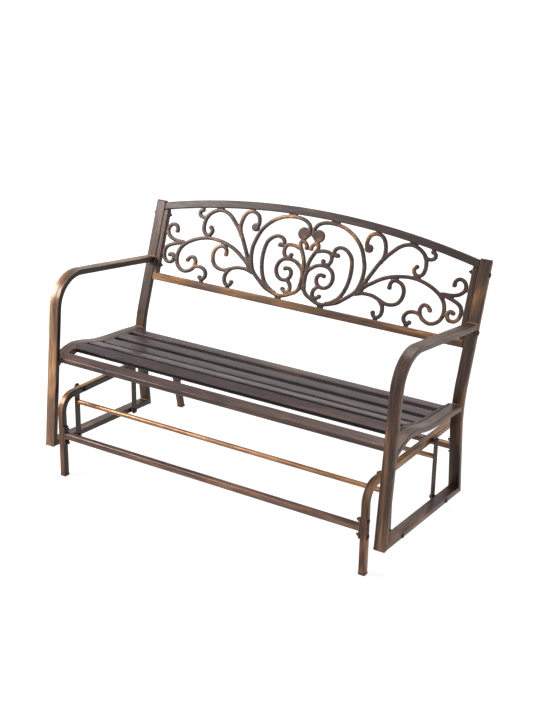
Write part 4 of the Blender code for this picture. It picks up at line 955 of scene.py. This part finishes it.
def add_bead(bm, corners, radius):
    """A rippled weld bead along a closed line."""
    path = []
    for here, after in zip(corners, corners[1:] + corners[:1]):
        steps = max(1, ceil((after - here).length / (WELD_RIPPLE / RIPPLE_STEPS)))
        path += [here.lerp(after, k / steps) for k in range(steps)]
    rings = []
    travelled = 0.0
    side = None
    for k, point in enumerate(path):
        after = path[(k + 1) % len(path)]
        heading = (after - path[k - 1]).normalized()
        if side is None:
            side = heading.orthogonal().normalized()
        side = (side - heading * side.dot(heading)).normalized()
        up = heading.cross(side)
        travelled += (after - point).length
        size = radius * (1.0 - RIPPLE_DEPTH + RIPPLE_DEPTH * abs(sin(pi * travelled / WELD_RIPPLE)))
        ring = []
        for n in range(WELD_SIDES):
            angle = 2 * pi * n / WELD_SIDES
            ring.append(bm.verts.new(point + (side * cos(angle) + up * sin(angle)) * size))
        rings.append(ring)
    add_rings(bm, rings, closed=True)


def make_welds(name, beads, body, material):
    bm = bmesh.new()
    for corners, radius in beads:
        add_bead(bm, corners, radius)
    bmesh.ops.recalc_face_normals(bm, faces=bm.faces[:])
    mark_flow(bm, None, flow_shift(name))
    for mark in ("wear", "brushed_and_lit"):
        layer = bm.verts.layers.float.new(mark)
        for vert in bm.verts:
            vert[layer] = 1.0
    make_piece(name, bm, material, body, pi, False)


# Paint mixes: dark, middle and gold colours, share of gold, strength on the edges, place in the noise
PAINT_MIXES = {
    "frame_paint": ((0.028, 0.015, 0.012), (0.112, 0.06, 0.043), (0.36, 0.19, 0.105), 0.05, 0.35, 1),
    # Painted side light: the left arm's mix is lighter and the right arm's darker
    "left_arm_paint": ((0.04, 0.02, 0.013), (0.17, 0.088, 0.054), (0.64, 0.34, 0.16), 0.18, 0.5, 91),
    "right_arm_paint": ((0.022, 0.011, 0.008), (0.09, 0.044, 0.028), (0.5, 0.25, 0.11), 0.08, 0.45, 4),
    "back_paint": ((0.016, 0.008, 0.006), (0.064, 0.031, 0.02), (0.33, 0.155, 0.058), 0.07, 0.4, 12),
    "front_rail_paint": ((0.024, 0.013, 0.012), (0.085, 0.047, 0.04), (0.24, 0.125, 0.085), 0.06, 0.35, 27),
    "slat_paint": ((0.013, 0.007, 0.007), (0.048, 0.025, 0.023), (0.12, 0.06, 0.048), 0.04, 0.3, 23),
    "base_paint": ((0.032, 0.014, 0.008), (0.15, 0.066, 0.033), (0.6, 0.28, 0.095), 0.17, 0.5, 34),
    "top_rail_paint": ((0.013, 0.007, 0.007), (0.042, 0.023, 0.02), (0.15, 0.078, 0.05), 0.03, 0.35, 45),
    "bottom_rail_paint": ((0.036, 0.017, 0.009), (0.11, 0.052, 0.027), (0.44, 0.205, 0.07), 0.05, 0.5, 56),
    "crossbar_paint": ((0.036, 0.018, 0.014), (0.15, 0.08, 0.06), (0.4, 0.21, 0.12), 0.08, 0.5, 67),
    "weld_paint": ((0.05, 0.024, 0.013), (0.17, 0.08, 0.038), (0.48, 0.23, 0.085), 0.14, 0.4, 78),
}
SCROLL_MIX = ((0.014, 0.008, 0.007), (0.072, 0.038, 0.029), (0.4, 0.2, 0.08), 0.05, 0.55, 5)
BAR_MIX = ((0.11, 0.048, 0.024), (0.42, 0.2, 0.095), (0.7, 0.38, 0.18), 0.14, 0.2, 9)

# What each kind of tube is painted with, and the line that its paint follows
TUBES = [
    ("sled_rail", "frame_paint", SLED_LINE),
    ("back_post", "back_paint", BACK_LINE),
    ("post_cap", "back_paint", None),
    ("seat_side_rail", "frame_paint", SEAT_LINE),
    ("seat_side_bar", "slat_paint", SEAT_LINE),
    ("panel_side_tube", "back_paint", BACK_LINE),
    ("base_frame", "base_paint", BASE_LINE),
    ("front_arm", "back_paint", FRONT_ARM_LINE),
    ("rear_arm", "back_paint", REAR_ARM_LINE),
]
# What each piece that runs across the bench is painted with
RAILS = [
    ("seat_front_rail", "front_rail_paint"),
    *((slat, "slat_paint") for slat in SLATS),
    ("seat_rear_rail", "slat_paint"),
    ("panel_top_rail", "top_rail_paint"),
    ("panel_bottom_rail", "bottom_rail_paint"),
    ("crossbar_front", "crossbar_paint"),
    ("crossbar_rear", "crossbar_paint"),
]


def dress_tubes(paints):
    for kind, paint, line in TUBES:
        for word, _ in SIDES:
            dress(f"{kind}_{word}", paints[paint], line)
    for node, paint in RAILS:
        dress(node, paints[paint])
    for word, _ in SIDES:
        # Each arm takes its side's mix, lighter on the left and darker on the right as painted side light
        dress(f"arm_frame_{word}", paints[f"{word}_arm_paint"], ARM_LINE)
    bar_paint = bronze("copper_bar", *BAR_MIX, metallic=BAR_METAL)
    for end in ENDS:
        dress(f"{end}_hanger_bar", bar_paint, rounding=THIN_ROUND)
    plastic = moulded("foot_plastic", FOOT_BROWN, seed=4)
    for end in ENDS:
        for word, _ in SIDES:
            dress(f"foot_cap_{end}_{word}", plastic)


def make_hardware():
    black = blackened("black_hardware", BLACK_STEEL, RUBBED_STEEL, seed=3)
    for word, _ in SIDES:
        base_low, base_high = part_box(f"base_frame_{word}")
        arm_low, arm_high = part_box(f"front_arm_{word}")
        sled_low, sled_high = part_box(f"sled_rail_{word}")
        base_outer = max(abs(base_low.x), abs(base_high.x))
        arm_inner = min(abs(arm_low.x), abs(arm_high.x))
        arm_outer = max(abs(arm_low.x), abs(arm_high.x))
        sled_inner = min(abs(sled_low.x), abs(sled_high.x))
        upper = (base_outer + TOUCH_GAP, arm_inner - TOUCH_GAP)
        lower = (arm_outer + TOUCH_GAP, sled_inner - TOUCH_GAP)
        for end in ENDS:
            make_fastener(f"upper_pivot_bolt_{end}_{word}", black, THREAD_STANDOUT, upper)
            make_fastener(f"lower_pivot_bolt_{end}_{word}", black, PIVOT_STANDOUT, lower)
            for level in ("high", "low"):
                bolt = f"crossbar_bolt_{end}_{level}_{word}"
                make_fastener(bolt, black, THREAD_STANDOUT, head=LOW_HEAD_HEIGHT)
        for level in ("high", "low"):
            make_fastener(f"panel_bolt_{level}_{word}", black, THREAD_STANDOUT)


def crossbar_rings(node):
    """Where a crossbar's own tube meets its end plates, one ring on each side."""
    low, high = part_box(node)
    y = (low.y + high.y) / 2
    z = (low.z + high.z) / 2
    plate = high.x - PLATE_DEPTH
    points = [vert.co.copy() for vert in NODES[node].data.vertices]
    tube = [point for point in points if hypot(point.y - y, point.z - z) < CROSSBAR_REACH]
    rings = []
    for _, side in SIDES:
        ring = distinct(point for point in tube if abs(side * point.x - plate) < TOUCH_GAP)
        ring.sort(key=lambda point: atan2(point.z - z, point.y - y))
        rings.append(ring)
    return rings


def pad_rings():
    """Where the scrollwork's feet meet the panel's tubes, as closed lines on both halves."""
    place = panel_place()
    front, rear = PAD_DEPTHS
    rings = []
    for _, side in SIDES:
        for _, _, (x1, z1), (x2, z2) in pads():
            corners = [(x1, front, z1), (x2, front, z2), (x2, rear, z2), (x1, rear, z1)]
            ring = [place @ Vector(corner) for corner in corners]
            rings.append([Vector((side * point.x, point.y, point.z)) for point in ring])
    return rings


def seat_beads():
    """The welds of the seat's own frame, as rings with their beads' radius."""
    beads = []
    for node in (*SLATS, "seat_rear_rail"):
        for _, side in SIDES:
            beads.append((end_ring(node, (side, 0, 0)), SMALL_WELD))
    for _, side in SIDES:
        beads.append((end_ring("seat_front_rail", (side, 0, 0)), WELD_RADIUS))
    back = Vector((0.0, 1.0, -BACK_RECLINE)) / RECLINE_LENGTH
    post_up = (Vector(ARM_LINE[1]) - Vector(ARM_LINE[0])).normalized()
    sled_back = (Vector(SLED_LINE[1]) - Vector(SLED_LINE[0])).normalized()
    lower_up = (Vector(BACK_LINE[1]) - Vector(BACK_LINE[0])).normalized()
    front_mitre = post_up - sled_back
    rear_mitre = sled_back + lower_up
    for word, _ in SIDES:
        beads.append((end_ring(f"arm_frame_{word}", back), WELD_RADIUS))
        beads.append((end_ring(f"seat_side_rail_{word}", (0, -1, 0)), WELD_RADIUS))
        beads.append((end_ring(f"seat_side_rail_{word}", (0, 1, 0)), WELD_RADIUS))
        beads.append((end_ring(f"sled_rail_{word}", (0, *front_mitre)), MITRE_WELD))
        beads.append((end_ring(f"sled_rail_{word}", (0, *rear_mitre)), MITRE_WELD))
    return beads


def make_all_welds(paint):
    make_welds("seat_welds", seat_beads(), "seat", paint)
    down = Vector((0.0, -BACK_RECLINE, -1.0)) / RECLINE_LENGTH
    panel = [(ring, PAD_WELD) for ring in pad_rings()]
    for word, _ in SIDES:
        panel.append((end_ring(f"panel_side_tube_{word}", down), SMALL_WELD))
    make_welds("panel_welds", panel, "seat", paint)
    base = []
    for end in ENDS:
        base += [(ring, WELD_RADIUS) for ring in crossbar_rings(f"crossbar_{end}")]
    make_welds("crossbar_welds", base, "base", paint)
    for end in ENDS:
        rings = [(end_ring(f"{end}_hanger_bar", (side, 0, 0)), SMALL_WELD) for _, side in SIDES]
        make_welds(f"{end}_hanger_welds", rings, f"{end}_hanger", paint)


def make_camera():
    camera = link("photo_camera", bpy.data.cameras.new("photo_camera"))
    back = Vector((
        sin(CAMERA_AZIMUTH) * cos(CAMERA_ELEVATION),
        -cos(CAMERA_AZIMUTH) * cos(CAMERA_ELEVATION),
        sin(CAMERA_ELEVATION),
    ))
    level = Vector((cos(CAMERA_AZIMUTH), sin(CAMERA_AZIMUTH), 0.0))
    upright = back.cross(level)
    right = level * cos(CAMERA_ROLL) + upright * sin(CAMERA_ROLL)
    up = upright * cos(CAMERA_ROLL) - level * sin(CAMERA_ROLL)
    axes = Matrix((right, up, back)).transposed().to_4x4()
    camera.matrix_world = Matrix.Translation(CAMERA_PLACE) @ axes
    camera.data.sensor_width = SENSOR
    camera.data.lens = SENSOR * FOCAL_PIXELS / PHOTO_HEIGHT
    camera.data.shift_x = (PHOTO_WIDTH / 2 - CENTRE_COLUMN) / PHOTO_HEIGHT
    camera.data.shift_y = (CENTRE_ROW - PHOTO_HEIGHT / 2) / PHOTO_HEIGHT
    bpy.context.scene.camera = camera


def background_share(tree):
    """1 for what the camera, a reflection or a clear material sees, and 0 for the light on the object."""
    path = add_node(tree, "ShaderNodeLightPath")
    share = path.outputs["Is Camera Ray"]
    for name in ("Is Glossy Ray", "Is Transmission Ray"):
        both = add_node(tree, "ShaderNodeMath", {0: share, 1: path.outputs[name]}, operation="MAXIMUM")
        share = both.outputs["Value"]
    return share


def make_world():
    world = bpy.data.worlds.new("studio")
    world.use_nodes = True
    tree = world.node_tree
    sizes = {"Value": background_share(tree), "To Min": SKY_LIGHT, "To Max": 1.0}
    strength = add_node(tree, "ShaderNodeMapRange", sizes).outputs["Result"]
    fill(tree, tree.nodes["Background"], {"Color": WHITE, "Strength": strength})
    bpy.context.scene.world = world


def make_floor():
    """A white floor that keeps the object's shadow and grows brighter with the distance from it."""
    bm = bmesh.new()
    bmesh.ops.create_grid(bm, x_segments=FLOOR_CELLS, y_segments=FLOOR_CELLS, size=FLOOR_SIZE)
    floor = link_mesh("floor", bm)
    material = bpy.data.materials.new("floor_white")
    material.use_nodes = True
    tree = material.node_tree
    place = add_node(tree, "ShaderNodeTexCoord").outputs["Object"]
    reach = add_node(tree, "ShaderNodeVectorMath", {0: place}, operation="LENGTH").outputs["Value"]
    sizes = {"From Min": GLOW_NEAR, "From Max": GLOW_FAR, "To Min": FLOOR_GLOW, "To Max": 1.0}
    sizes["Value"] = reach
    rise = add_node(tree, "ShaderNodeMapRange", sizes, interpolation_type="SMOOTHSTEP").outputs["Result"]
    seen = background_share(tree)
    glow = add_node(tree, "ShaderNodeMath", {0: seen, 1: rise}, operation="MULTIPLY").outputs["Value"]
    fill(tree, tree.nodes["Principled BSDF"], {
        "Base Color": (FLOOR_SHADE, FLOOR_SHADE, FLOOR_SHADE),
        "Roughness": FLOOR_ROUGHNESS,
        "Specular IOR Level": 0.0,
        "Emission Color": WHITE,
        "Emission Strength": glow,
    })
    floor.data.materials.append(material)


def make_lamp(name, place, aim, size, energy, colour):
    data = bpy.data.lights.new(name, "AREA")
    data.size = size
    data.energy = energy
    data.color = colour
    lamp = link(name, data)
    lamp.location = place
    lamp.rotation_euler = (Vector(aim) - Vector(place)).to_track_quat("-Z", "Y").to_euler()


def main():
    paints = {name: bronze(name, *mix) for name, mix in PAINT_MIXES.items()}
    dress_tubes(paints)
    make_castings(bronze("scroll_bronze", *SCROLL_MIX, metallic=SCROLL_METAL, drawn=SCROLL_DRAWN))
    make_hardware()
    make_all_welds(paints["weld_paint"])
    make_camera()
    make_world()
    make_floor()
    for lamp in LAMPS:
        make_lamp(*lamp)
    bpy.context.scene.view_settings.view_transform = "Standard"


main()
